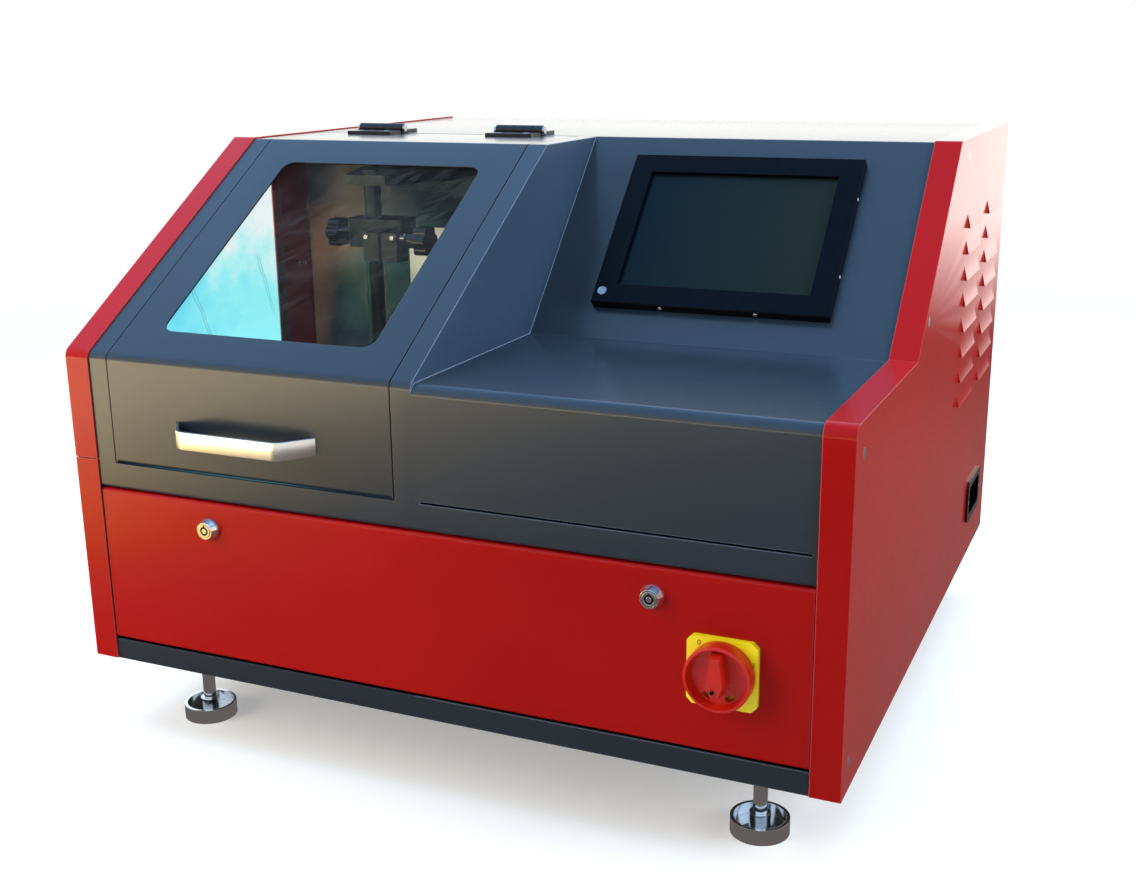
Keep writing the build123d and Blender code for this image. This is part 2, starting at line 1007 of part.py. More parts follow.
def hinge_half(centre_x, turn, first):
    """One leaf with its knuckles; turn is 1 behind the pin and -1 in front."""
    low_x = left + centre_x - hinge_length / 2
    start = barrel_radius + hinge_knuckle_gap
    far = barrel_radius + hinge_leaf_depth
    spans = sorted((hinge_y + turn * start, hinge_y + turn * far))
    block((low_x, low_x + hinge_length), spans, (top, top + hinge_leaf_thick))
    for knuckle in range(first, hinge_knuckles, 2):
        knuckle_x = low_x + knuckle * knuckle_pitch + hinge_knuckle_gap / 2
        length = knuckle_pitch - hinge_knuckle_gap
        rod((knuckle_x, hinge_y, hinge_z), to_right, barrel_radius, length)
        web = sorted((hinge_y, hinge_y + turn * far))
        web_low = hinge_z - barrel_radius
        web_span = (web_low, top + hinge_leaf_thick)
        block((knuckle_x, knuckle_x + length), web, web_span)
    bore = hinge_pin / 2 + hinge_pin_clearance
    start = (low_x - cut_overrun, hinge_y, hinge_z)
    rod(start, to_right, bore, hinge_length + 2 * cut_overrun, Mode.SUBTRACT)


with BuildPart() as hinge_case_leaves:
    for centre_x in hinge_centres:
        hinge_half(centre_x, 1, 0)
save(hinge_case_leaves.part, "hinge_case_leaves")

with BuildPart() as hinge_door_leaves:
    for centre_x in hinge_centres:
        hinge_half(centre_x, -1, 1)
save(hinge_door_leaves.part, "hinge_door_leaves")

with BuildPart() as hinge_pins:
    for centre_x in hinge_centres:
        low_x = left + centre_x - hinge_length / 2
        end_gap = hinge_knuckle_gap / 2
        start = (low_x - end_gap, hinge_y, hinge_z)
        rod(start, to_right, hinge_pin / 2, hinge_length + 2 * end_gap)
        rod(start, to_left, hinge_pin_head / 2, hinge_pin_head_rise)
        end = (low_x + hinge_length + end_gap, hinge_y, hinge_z)
        rod(end, to_right, hinge_pin_head / 2, hinge_pin_head_rise)
save(hinge_pins.part, "hinge_pins")

# Lower front panel: a folded tray that tips forward on two low pins
panel_fold = [
    (front + panel_flange, panel_low),
    (front, panel_low),
    (front, panel_high),
    (front + panel_flange, panel_high),
]
panel_sheet_face = folded_strip(panel_fold, [panel_pivot, bend_radius], sheet)
switch_place = (right - switch_inset, bottom + switch_z)
lock_centres = [(left + place, bottom + lock_height) for place in lock_places]
with BuildPart() as lower_front_panel:
    with BuildSketch(side_plane(panel_left)):
        add(panel_sheet_face)
    extrude(amount=panel_right - panel_left)
    for end_x in (panel_left, panel_right - sheet):
        with BuildSketch(side_plane(end_x)):
            with Locations((front + panel_flange / 2, (panel_low + panel_high) / 2)):
                Rectangle(panel_flange, panel_high - panel_low)
            with Locations((front, panel_low)):
                Rectangle(2 * panel_pivot, 2 * panel_pivot, mode=Mode.SUBTRACT)
            with Locations((pivot_y, pivot_z)):
                Circle(panel_pivot)
            with Locations((front, panel_high)):
                Rectangle(2 * bend_radius, 2 * bend_radius, mode=Mode.SUBTRACT)
            with Locations((front + bend_radius, panel_high - bend_radius)):
                Circle(bend_radius)
        extrude(amount=sheet)
    rod((panel_left, pivot_y, pivot_z), to_left, panel_pin / 2, panel_pin_length)
    rod((panel_right, pivot_y, pivot_z), to_right, panel_pin / 2, panel_pin_length)
    for x, z in lock_centres:
        hole = lock_body / 2 + pivot_clearance
        rod((x, front - cut_overrun, z), to_back, hole, 2 * cut_overrun, Mode.SUBTRACT)
    shaft_hole = switch_shaft / 2 + 2 * switch_shaft_running
    start = (switch_place[0], front - cut_overrun, switch_place[1])
    rod(start, to_back, shaft_hole, 2 * cut_overrun, Mode.SUBTRACT)
save(lower_front_panel.part, "lower_front_panel")

# Two tubular cam locks, each with its nut, and their turning plugs
plug_radius = lock_plug / 2
with BuildPart() as lock_bodies:
    for x, z in lock_centres:
        face_y = front - lock_head_rise
        with BuildSketch(Plane(origin=(x, face_y, z), x_dir=(1, 0, 0), z_dir=(0, 0, 1))):
            with BuildLine():
                Polyline(
                    (0, 0),
                    (lock_face / 2, 0),
                    (lock_rim / 2, lock_head_rise - lock_rim_edge),
                    (lock_rim / 2, lock_head_rise),
                    (lock_body / 2, lock_head_rise),
                    (lock_body / 2, lock_head_rise + lock_body_length),
                    (0, lock_head_rise + lock_body_length),
                    close=True,
                )
            make_face()
        revolve(axis=Axis((x, face_y, z), (0, 1, 0)))
        start = (x, face_y - cut_overrun, z)
        length = lock_head_rise + lock_body_length + 2 * cut_overrun
        rod(start, to_back, plug_radius + lock_running, length, Mode.SUBTRACT)
        with BuildSketch(front_plane(front + sheet + lock_nut_rise)):
            with Locations((x, z)):
                RegularPolygon(lock_nut / 2, 6)
                Circle(lock_body / 2 + pivot_clearance / 2, mode=Mode.SUBTRACT)
        extrude(amount=lock_nut_rise)
save(lock_bodies.part, "lock_bodies")


def lock_cylinder(x, z, turn):
    """A plug with a round keyway, its cam behind it lying flat while unlocked."""
    nose_y = front - lock_head_rise - lock_plug_rise
    cam_y = front + lock_body_length + lock_running
    with BuildPart() as cylinder:
        rod((x, nose_y, z), to_back, plug_radius, cam_y - nose_y)
        with BuildSketch(front_plane(cam_y + cam_thick)):
            with Locations((x + turn * (cam_length - cam_width) / 2, z)):
                SlotOverall(cam_length, cam_width)
        extrude(amount=cam_thick)
        # The round keyway leaves a pin in its middle and has a notch on top
        with BuildSketch(front_plane(nose_y + key_depth)):
            with Locations((x, z + key_ring / 2)):
                Rectangle(key_notch, 2 * key_notch)
            with Locations((x, z)):
                Circle(key_ring / 2)
                Circle(key_pin / 2, mode=Mode.SUBTRACT)
        extrude(amount=key_depth, mode=Mode.SUBTRACT)
    return cylinder.part


save(lock_cylinder(lock_centres[0][0], lock_centres[0][1], 1), "left_lock_cylinder")
save(lock_cylinder(lock_centres[1][0], lock_centres[1][1], -1), "right_lock_cylinder")

# Main switch: a square plate, the switch behind it and a dished dial with a grip
plate_y = front - switch_plate_rise
switch_axis = Axis((switch_place[0], front, switch_place[1]), (0, 1, 0))
shaft_radius_clear = switch_shaft / 2 + switch_shaft_running
with BuildPart() as plate:
    with BuildSketch(front_plane(front)) as plate_face:
        with Locations(switch_place):
            Rectangle(switch_plate, switch_plate)
        chamfer(plate_face.vertices(), switch_plate_chamfer)
        with Locations(switch_place):
            Circle(shaft_radius_clear, mode=Mode.SUBTRACT)
    extrude(amount=switch_plate_rise)
save(plate.part, "switch_plate")

with BuildPart() as switch_body:
    with BuildSketch(front_plane(front + sheet + switch_body_depth)):
        with Locations(switch_place):
            RectangleRounded(switch_body_side, switch_body_side, bend_radius)
            Circle(shaft_radius_clear, mode=Mode.SUBTRACT)
    extrude(amount=switch_body_depth)
save(switch_body.part, "switch_body")

dial_back_y = plate_y - dial_running
dial_front_y = dial_back_y - dial_rise
dial_radius = dial_diameter / 2
dish_floor_y = dial_front_y + dial_dish
with BuildPart() as switch_handle:
    profile_plane = Plane(origin=(switch_place[0], 0, switch_place[1]))
    with BuildSketch(profile_plane):
        with BuildLine():
            Polyline(
                (0, dial_back_y),
                (dial_radius, dial_back_y),
                (dial_radius, dial_front_y + dial_rim / 2),
                (dial_radius - dial_rim / 2, dial_front_y),
                (dial_radius - dial_rim, dial_front_y),
                (dial_radius - 2 * dial_rim, dish_floor_y),
                (0, dish_floor_y),
                close=True,
            )
        make_face()
    revolve(axis=switch_axis)
    grip_ends = (
        (grip_top, grip_top_width),
        (grip_waist, grip_waist_width),
        (grip_low, grip_low_width),
    )
    right_edge = [(width / 2, height) for height, width in grip_ends]
    left_edge = [(-width / 2, height) for height, width in reversed(grip_ends)]
    with BuildSketch(front_plane(dish_floor_y)):
        with Locations(switch_place):
            Polygon(*right_edge, *left_edge, align=None)
    extrude(amount=grip_rise, taper=grip_taper)
    start = (switch_place[0], dial_back_y, switch_place[1])
    shaft_length = front + sheet + switch_body_depth / 2 - dial_back_y
    rod(start, to_back, switch_shaft / 2, shaft_length)
    # Padlock slots through the dial's rim, beside the grip's lower end
    with BuildSketch(front_plane(dial_back_y + cut_overrun)):
        for side in (-1, 1):
            angle = padlock_slot_angle * side
            slot_x = switch_place[0] + padlock_slot_radius * sin(radians(angle))
            slot_z = switch_place[1] - padlock_slot_radius * cos(radians(angle))
            with Locations((slot_x, slot_z)):
                SlotOverall(padlock_slot_length, padlock_slot, rotation=angle)
    extrude(amount=dial_rise + 2 * cut_overrun, mode=Mode.SUBTRACT)
save(switch_handle.part, "switch_handle")

# Console screen: a bezel on the slope, the glass in it and the housing behind
bezel_place = (bezel_middle_x, bezel_middle_s)
glass_width = bezel_width - 2 * bezel_lip
glass_height = bezel_height - 2 * bezel_lip
with BuildPart() as monitor_bezel:
    with BuildSketch(screen_plane()):
        with Locations(bezel_place):
            RectangleRounded(bezel_width, bezel_height, bezel_edge_radius)
    extrude(amount=bezel_rise)
    with BuildSketch(screen_plane()):
        with Locations(bezel_place):
            Rectangle(glass_width, glass_height)
    extrude(amount=bezel_rise, mode=Mode.SUBTRACT)
    bezel_axis = Axis(screen_plane().origin, screen_plane().z_dir)
    bezel_front = monitor_bezel.faces().sort_by(bezel_axis)[-1]
    chamfer(bezel_front.outer_wire().edges(), bezel_edge_chamfer)
save(monitor_bezel.part, "monitor_bezel")

glass_low = bezel_rise - screen_recess - screen_glass
with BuildPart() as monitor_screen:
    with BuildSketch(screen_plane().offset(glass_low)):
        with Locations(bezel_place):
            Rectangle(glass_width - 2 * screen_gap, glass_height - 2 * screen_gap)
    extrude(amount=screen_glass)
save(monitor_screen.part, "monitor_screen")

with BuildPart() as monitor_housing:
    with BuildSketch(screen_plane().offset(-monitor_depth)):
        with Locations(bezel_place):
            RectangleRounded(monitor_width, monitor_height, bend_radius)
    extrude(amount=monitor_depth)
    with BuildSketch(screen_plane().offset(-monitor_depth + monitor_wall)):
        with Locations(bezel_place):
            Rectangle(monitor_width - 2 * monitor_wall, monitor_height - 2 * monitor_wall)
    extrude(amount=monitor_depth, mode=Mode.SUBTRACT)
save(monitor_housing.part, "monitor_housing")

# Test chamber: a back wall and a right wall, the drip tray and the clamp's post
liner_right = recess_x - sheet
wall_right = liner_right - sheet
ledge_z = tray_z - sheet
outlet_place = (left + outlet_x, wall_y, bottom + outlet_height)
pipe_hole = outlet_radius + pivot_clearance
wall_left = inner_left + base_sheet
with BuildPart() as chamber_back_wall:
    block((wall_left, liner_right), (wall_y, wall_back_y), (floor_z, top - bend_radius))
    block((wall_left, wall_right), (wall_y - tray_lip, wall_y), (ledge_z, tray_z))
    start = (outlet_place[0], wall_y - cut_overrun, outlet_place[2])
    rod(start, to_back, pipe_hole, 2 * cut_overrun, Mode.SUBTRACT)
save(chamber_back_wall.part, "chamber_back_wall")

wall_face = offset(bay_face, amount=-sheet - liner_clearance)
with BuildPart() as chamber_right_wall:
    with BuildSketch(side_plane(wall_right)):
        add(wall_face)
        with Locations((hinge_y + case_depth / 2, bottom + case_height / 2)):
            Rectangle(case_depth, case_height, mode=Mode.SUBTRACT)
        with Locations((front, bottom)):
            Rectangle(2 * liner_front_gap, 2 * tray_height, mode=Mode.SUBTRACT)
    extrude(amount=sheet)
    block(
        (wall_right - tray_lip, wall_right),
        (front + liner_front_gap, wall_y - tray_lip),
        (ledge_z, tray_z),
    )
save(chamber_right_wall.part, "chamber_right_wall")

# Drip tray on the chamber's floor, with its drain
tray_left = wall_left + tray_side_gap
tray_right = wall_right - tray_side_gap
tray_front = front + sheet + tray_side_gap
tray_back = wall_y - tray_side_gap
drain_place = (left + drain_x, front + drain_y)
with BuildPart() as chamber_tray:
    block((tray_left, tray_right), (tray_front, tray_back), (tray_z, tray_z + tray_lip))
    block(
        (tray_left + sheet, tray_right - sheet),
        (tray_front + sheet, tray_back - sheet),
        (tray_z + sheet, tray_z + tray_lip + cut_overrun),
        Mode.SUBTRACT,
    )
    block(
        (door_left - return_flange, door_right + return_flange),
        (tray_front - cut_overrun, tray_front + sheet),
        (tray_z + tray_front_lip, tray_z + tray_lip + cut_overrun),
        Mode.SUBTRACT,
    )
    drain_start = (*drain_place, tray_z)
    rod(drain_start, to_floor, drain_pipe / 2, drain_length)
    bore_start = (*drain_place, tray_z + 2 * sheet)
    bore_length = drain_length + cut_overrun
    rod(bore_start, to_floor, drain_bore / 2, bore_length, Mode.SUBTRACT)
save(chamber_tray.part, "chamber_tray")

# The round post that carries the injector clamp, and its upper bracket
post_place = (left + post_x, front + bay_slope_depth - post_slope_run)
post_radius = clamp_post_diameter / 2
post_low_z = tray_z + sheet
post_top_z = bottom + clamp_post_top
with BuildPart() as clamp_post:
    post_start = (*post_place, post_low_z)
    rod(post_start, to_top, post_foot / 2, post_foot_rise)
    rod(post_start, to_top, post_radius, post_top_z - post_low_z)
save(clamp_post.part, "clamp_post")

bracket_z = bottom + bracket_low
bracket_depth = wall_y - post_place[1]
with BuildPart() as post_bracket:
    with BuildSketch(Plane.XY.offset(bracket_z)):
        with BuildLine():
            nose = bracket_nose / 2
            Polyline(
                (post_place[0] - bracket_width / 2, wall_y),
                (post_place[0] - bracket_width / 2, wall_y - bracket_depth / 2),
                (post_place[0] - nose, post_place[1] - nose / 2),
                (post_place[0] + nose, post_place[1] - nose / 2),
                (post_place[0] + bracket_width / 2, wall_y - bracket_depth / 2),
                (post_place[0] + bracket_width / 2, wall_y),
                close=True,
            )
        make_face()
        with Locations(post_place):
            Circle(post_radius + post_running, mode=Mode.SUBTRACT)
    extrude(amount=bracket_rise)
    block(
        (post_place[0] - bracket_width / 2, post_place[0] + bracket_width / 2),
        (wall_y - bracket_rise, wall_y),
        (bracket_z - 2 * bracket_rise, bracket_z),
    )
save(post_bracket.part, "post_bracket")

with BuildPart() as access_plate:
    block(
        (left + access_left, left + access_left + access_width),
        (wall_y - access_thick, wall_y),
        (bottom + access_low, bottom + access_low + access_height),
    )
save(access_plate.part, "access_plate")

# Injector clamp: a carriage on the post, a jaw that slides and two star knobs
carriage_z = bottom + carriage_low
carriage_front_y = post_place[1] - carriage_half_depth
jaw_z = bottom + jaw_low
jaw_back_y = carriage_front_y
fixed_jaw_left = post_place[0] + jaw_offset
moving_jaw_left = fixed_jaw_left + jaw_width + jaw_gap
jaw_screw_y = jaw_back_y - jaw_depth * jaw_screw_share
jaw_screw_z = bottom + jaw_screw_height
lock_screw_z = bottom + lock_knob_height
screw_radius = knob_screw / 2
jaw_tongue_z = (carriage_z + jaw_z + jaw_rise) / 2
groove_half = jaw_tongue / 2 + jaw_front_gap
notch_y = jaw_back_y - jaw_depth * jaw_notch_share


def jaw_block(low_x, notch_x):
    """A jaw with an upright V notch for the injector's body."""
    block(
        (low_x, low_x + jaw_width),
        (jaw_back_y - jaw_depth, jaw_back_y),
        (jaw_z, jaw_z + jaw_rise),
    )
    with BuildSketch(Plane.XY.offset(jaw_z)) as notch_face:
        with Locations((notch_x, notch_y)):
            Rectangle(jaw_notch, jaw_notch, rotation=45)
    extrude(to_extrude=notch_face.sketch, amount=jaw_rise, mode=Mode.SUBTRACT)


with BuildPart() as clamp_carriage:
    with BuildSketch(Plane.XY.offset(carriage_z)):
        with Locations((post_place[0] + (carriage_right - carriage_left) / 2, post_place[1])):
            RectangleRounded(
                carriage_left + carriage_right, 2 * carriage_half_depth, bend_radius
            )
        with Locations(post_place):
            Circle(post_radius + post_running, mode=Mode.SUBTRACT)
    extrude(amount=carriage_rise)
    # A groove along the front guides the sliding jaw's tongue
    block(
        (moving_jaw_left - jaw_gap, post_place[0] + carriage_right + cut_overrun),
        (carriage_front_y - cut_overrun, carriage_front_y + jaw_tongue + jaw_front_gap),
        (jaw_tongue_z - groove_half, jaw_tongue_z + groove_half),
        Mode.SUBTRACT,
    )
    jaw_block(fixed_jaw_left, fixed_jaw_left + jaw_width)
    start = (fixed_jaw_left + jaw_width + cut_overrun, jaw_screw_y, jaw_screw_z)
    bore_length = jaw_screw_depth + cut_overrun
    rod(start, to_left, screw_radius + knob_screw_running, bore_length, Mode.SUBTRACT)
    start = (post_place[0] - carriage_left - cut_overrun, post_place[1], lock_screw_z)
    bore_length = carriage_left + cut_overrun
    rod(start, to_right, screw_radius + knob_screw_running, bore_length, Mode.SUBTRACT)
save(clamp_carriage.part, "clamp_carriage")

with BuildPart() as moving_jaw:
    jaw_block(moving_jaw_left, moving_jaw_left)
    block(
        (moving_jaw_left, moving_jaw_left + jaw_width),
        (jaw_back_y - jaw_front_gap, jaw_back_y),
        (jaw_z, jaw_z + jaw_rise),
        Mode.SUBTRACT,
    )
    block(
        (moving_jaw_left, moving_jaw_left + jaw_width),
        (jaw_back_y - jaw_front_gap, jaw_back_y + jaw_tongue),
        (jaw_tongue_z - jaw_tongue / 2, jaw_tongue_z + jaw_tongue / 2),
    )
    start = (moving_jaw_left - cut_overrun, jaw_screw_y, jaw_screw_z)
    bore_length = jaw_width + 2 * cut_overrun
    rod(start, to_right, screw_radius + knob_screw_running, bore_length, Mode.SUBTRACT)
save(moving_jaw.part, "moving_jaw")


def star_knob(place, turn, screw_length):
    """A lobed knob with its hub, washer and screw; turn points outwards."""
    outwards = (turn, 0, 0)
    face = Plane(origin=place, x_dir=(0, 1, 0), z_dir=outwards)
    with BuildPart() as knob:
        rod(place, outwards, knob_washer / 2, knob_washer_thick)
        with BuildSketch(face.offset(knob_washer_thick)):
            Circle(knob_hub / 2)
        extrude(amount=knob_hub_length)
        with BuildSketch(face.offset(knob_washer_thick + knob_hub_length)) as star:
            Circle(knob_star / 2 - knob_lobe_radius / 2)
            with PolarLocations(knob_star / 2 - knob_lobe_radius, knob_lobes):
                Circle(knob_lobe_radius)
        extrude(amount=knob_star_thick)
        inwards = (-turn, 0, 0)
        rod(place, inwards, screw_radius, screw_length)
    return knob.part


jaw_knob_x = moving_jaw_left + jaw_width + knob_seat_gap
jaw_knob_place = (jaw_knob_x, jaw_screw_y, jaw_screw_z)
jaw_screw_tip = jaw_width + jaw_gap + jaw_screw_depth - jaw_travel - knob_seat_gap
save(star_knob(jaw_knob_place, 1, jaw_screw_tip), "jaw_knob")
post_knob_x = post_place[0] - carriage_left - knob_seat_gap
post_knob_place = (post_knob_x, post_place[1], lock_screw_z)
post_screw_tip = carriage_left - post_radius
save(star_knob(post_knob_place, -1, post_screw_tip), "post_knob")


def bar_path(points, radii, radius):
    """A round bar swept along straight runs joined by arcs."""
    with BuildPart() as bar:
        with BuildLine() as path:
            FilletPolyline(*points, radius=radii)
        with BuildSketch(Plane(origin=path.line @ 0, z_dir=path.line % 0)):
            Circle(radius)
        sweep()
    return bar.part


def hex_bar(place, direction, across, length):
    """A hexagonal bar from one end, along a direction."""
    with BuildSketch(Plane(origin=place, z_dir=direction)) as hex_face:
        RegularPolygon(across / 2, 6, major_radius=False)
    extrude(to_extrude=hex_face.sketch, amount=length)


# Drive motor with cooling fins, end shields, feet and terminal box
with BuildPart() as drive_motor:
    start = (motor_x + motor_end_length, drive_y, drive_z)
    rod(start, to_right, motor_radius, motor_length - 2 * motor_end_length)
    rod((motor_x, drive_y, drive_z), to_right, motor_end_radius, motor_length)
    fin_plane = Plane(origin=start, x_dir=(0, 1, 0), z_dir=to_right)
    with BuildSketch(fin_plane):
        with PolarLocations(motor_radius, motor_fins):
            Rectangle(2 * motor_fin_rise, motor_fin_thick)
    extrude(amount=motor_length - 2 * motor_end_length)
    middle_x = motor_x + motor_length / 2
    for foot_x in (middle_x - motor_foot_spread / 2, middle_x + motor_foot_spread / 2):
        block(
            (foot_x - motor_foot_length / 2, foot_x + motor_foot_length / 2),
            (drive_y - motor_foot_width / 2, drive_y + motor_foot_width / 2),
            (floor_z, floor_z + motor_foot_rise),
        )
    block(
        (middle_x - terminal_side / 2, middle_x + terminal_side / 2),
        (drive_y - terminal_side / 2, drive_y + terminal_side / 2),
        (drive_z, drive_z + motor_radius + terminal_rise),
    )
    start = (motor_end_x + cut_overrun, drive_y, drive_z)
    bore_length = shaft_seat_depth + shaft_end_gap + cut_overrun
    rod(start, to_left, shaft_radius + shaft_running, bore_length, Mode.SUBTRACT)
save(drive_motor.part, "drive_motor")

# The motor's and the pump's shaft, joined by the coupling
coupling_middle_x = coupling_x + coupling_length / 2
motor_shaft_x = motor_end_x - shaft_seat_depth
pump_shaft_x = coupling_middle_x + shaft_end_gap / 2
motor_shaft_length = coupling_middle_x - shaft_end_gap / 2 - motor_shaft_x
pump_shaft_length = pump_x + shaft_seat_depth - pump_shaft_x
with BuildPart() as drive_shafts:
    rod((motor_shaft_x, drive_y, drive_z), to_right, shaft_radius, motor_shaft_length)
    rod((pump_shaft_x, drive_y, drive_z), to_right, shaft_radius, pump_shaft_length)
save(drive_shafts.part, "drive_shafts")

with BuildPart() as drive_coupling:
    start = (coupling_x, drive_y, drive_z)
    with BuildSketch(Plane(origin=start, x_dir=to_right, z_dir=to_front)):
        hub_length = (coupling_length - coupling_waist_length) / 2
        with BuildLine():
            Polyline(
                (0, shaft_radius),
                (0, coupling_radius),
                (hub_length, coupling_radius),
                (hub_length, coupling_waist),
                (coupling_length - hub_length, coupling_waist),
                (coupling_length - hub_length, coupling_radius),
                (coupling_length, coupling_radius),
                (coupling_length, shaft_radius),
                close=True,
            )
        make_face()
    revolve(axis=Axis(start, to_right))
save(drive_coupling.part, "drive_coupling")

# High-pressure pump: a flange, the body and three radial heads
pump_body_x = pump_x + pump_flange_thick
pump_head_x = pump_body_x + pump_body_length * pump_head_share
pump_port_x = pump_body_x + pump_body_length * pump_port_share
pump_port_z = drive_z + pump_body_radius + pump_port_rise
with BuildPart() as high_pressure_pump:
    rod((pump_x, drive_y, drive_z), to_right, pump_flange_radius, pump_flange_thick)
    rod((pump_body_x, drive_y, drive_z), to_right, pump_body_radius, pump_body_length)
    for head in range(pump_heads):
        angle = pi / 2 + 2 * pi * head / pump_heads
        outwards = (0, cos(angle), sin(angle))
        rod((pump_head_x, drive_y, drive_z), outwards, pump_head_radius, pump_head_reach)
    port_start = (pump_port_x, drive_y, drive_z)
    rod(port_start, to_top, rail_port_radius, pump_port_z - drive_z)
    start = (pump_x - cut_overrun, drive_y, drive_z)
    bore_length = shaft_seat_depth + shaft_end_gap + cut_overrun
    rod(start, to_right, shaft_radius + shaft_running, bore_length, Mode.SUBTRACT)
save(high_pressure_pump.part, "high_pressure_pump")

# The common rail behind the chamber, its clamps, sensor and control valve
rail_x = left + rail_left
rail_end_x = rail_x + rail_length
rail_y = wall_back_y + rail_stand
rail_z = bottom + rail_height
port_low_z = rail_z - rail_radius - rail_port_length
port_xs = [rail_x + rail_port_inset + port * rail_port_pitch for port in range(rail_ports)]
with BuildPart() as common_rail:
    rod((rail_x, rail_y, rail_z), to_right, rail_radius, rail_length)
    for port_x in port_xs:
        rod((port_x, rail_y, rail_z), to_floor, rail_port_radius, rail_z - port_low_z)
    for plug_x in port_xs[: rail_ports // 2]:
        hex_bar((plug_x, rail_y, port_low_z), to_floor, plug_hex, plug_rise)
save(common_rail.part, "common_rail")

clamp_xs = (rail_x + rail_clamp_inset, rail_end_x - rail_clamp_inset)
with BuildPart() as rail_clamps:
    clamp_radius = rail_radius + rail_clamp_wall
    for clamp_x in clamp_xs:
        low_x = clamp_x - rail_clamp_width / 2
        rod((low_x, rail_y, rail_z), to_right, clamp_radius, rail_clamp_width)
        block(
            (low_x, low_x + rail_clamp_width),
            (wall_back_y, rail_y),
            (rail_z - clamp_radius, rail_z + clamp_radius),
        )
        start = (low_x - cut_overrun, rail_y, rail_z)
        length = rail_clamp_width + 2 * cut_overrun
        rod(start, to_right, rail_radius, length, Mode.SUBTRACT)
save(rail_clamps.part, "rail_clamps")

with BuildPart() as rail_pressure_sensor:
    hex_bar((rail_end_x, rail_y, rail_z), to_right, sensor_hex, sensor_hex_length)
    rod((rail_end_x, rail_y, rail_z), to_right, sensor_radius, sensor_length)
save(rail_pressure_sensor.part, "rail_pressure_sensor")

with BuildPart() as pressure_control_valve:
    rod((rail_x, rail_y, rail_z), to_left, valve_radius, valve_length)
    middle = (rail_x - valve_length / 2, rail_y, rail_z)
    rod(middle, to_top, valve_plug_radius, valve_radius + valve_plug_length)
save(pressure_control_valve.part, "pressure_control_valve")

# The outlet through the back wall, where an injector's line is screwed on
outlet_rear_y = wall_back_y + outlet_rear
with BuildPart() as injector_line_outlet:
    hex_bar(outlet_place, to_front, outlet_hex, outlet_hex_rise)
    start = (outlet_place[0], outlet_rear_y, outlet_place[2])
    length = outlet_rear_y - wall_y + outlet_hex_rise + outlet_length
    rod(start, to_front, outlet_radius, length)
save(injector_line_outlet.part, "injector_line_outlet")

# Two steel pipes with union nuts: pump to rail, and rail to the outlet
pipe_radius = pipe_diameter / 2
pump_pipe_x = port_xs[-2]
pump_pipe_z = port_low_z - pump_pipe_drop
pump_pipe_points = [
    (pump_pipe_x, rail_y, port_low_z),
    (pump_pipe_x, rail_y, pump_pipe_z),
    (pump_pipe_x, drive_y, pump_pipe_z),
    (pump_port_x, drive_y, pump_pipe_z),
    (pump_port_x, drive_y, pump_port_z),
]
outlet_pipe_points = [
    (outlet_place[0], rail_y, port_low_z),
    (outlet_place[0], rail_y, outlet_place[2]),
    (outlet_place[0], outlet_rear_y, outlet_place[2]),
]
with BuildPart() as high_pressure_pipes:
    for pipe_points in (pump_pipe_points, outlet_pipe_points):
        add(bar_path(pipe_points, pipe_bend, pipe_radius))
        hex_bar(pipe_points[0], to_floor, pipe_nut, pipe_nut_length)
    hex_bar(pump_pipe_points[-1], to_top, pipe_nut, pipe_nut_length)
    hex_bar(outlet_pipe_points[-1], to_back, pipe_nut, pipe_nut_length / 2)
save(high_pressure_pipes.part, "high_pressure_pipes")

# Fuel tank under the tray, its neck round the tray's drain
tank_x = left + tank_left
tank_y = front + tank_front
tank_z = floor_z + tank_foot_rise
tank_top_z = tank_z + tank_rise
tank_middle = (tank_x + tank_width / 2, tank_y + tank_depth / 2)
with BuildPart() as fuel_tank:
    with BuildSketch(Plane.XY.offset(tank_z)):
        with Locations(tank_middle):
            RectangleRounded(tank_width, tank_depth, tank_radius)
    extrude(amount=tank_rise)
    for foot_x in (tank_x + tank_foot_inset, tank_x + tank_width - tank_foot_inset):
        block(
            (foot_x - tank_foot_width / 2, foot_x + tank_foot_width / 2),
            (tank_y + tank_foot_inset, tank_y + tank_depth - tank_foot_inset),
            (floor_z, tank_z),
        )
    lid_place = (tank_x + tank_width - tank_lid_inset, tank_y + tank_depth - tank_lid_inset)
    rod((*lid_place, tank_top_z), to_top, tank_lid_radius, tank_lid_rise)
    rod((*lid_place, tank_top_z), to_top, tank_spout, tank_lid_rise + tank_spout_rise)
    rod((*drain_place, tank_top_z), to_top, tank_neck_radius, tank_neck_rise)
    with BuildSketch(Plane.XY.offset(tank_z + tank_wall)):
        with Locations(tank_middle):
            RectangleRounded(
                tank_width - 2 * tank_wall,
                tank_depth - 2 * tank_wall,
                tank_radius - tank_wall,
            )
    extrude(amount=tank_rise - 2 * tank_wall, mode=Mode.SUBTRACT)
    start = (*drain_place, tank_top_z + tank_neck_rise + cut_overrun)
    bore_length = tank_neck_rise + cut_overrun + 2 * tank_wall
    rod(start, to_floor, tank_neck_bore, bore_length, Mode.SUBTRACT)
save(fuel_tank.part, "fuel_tank")

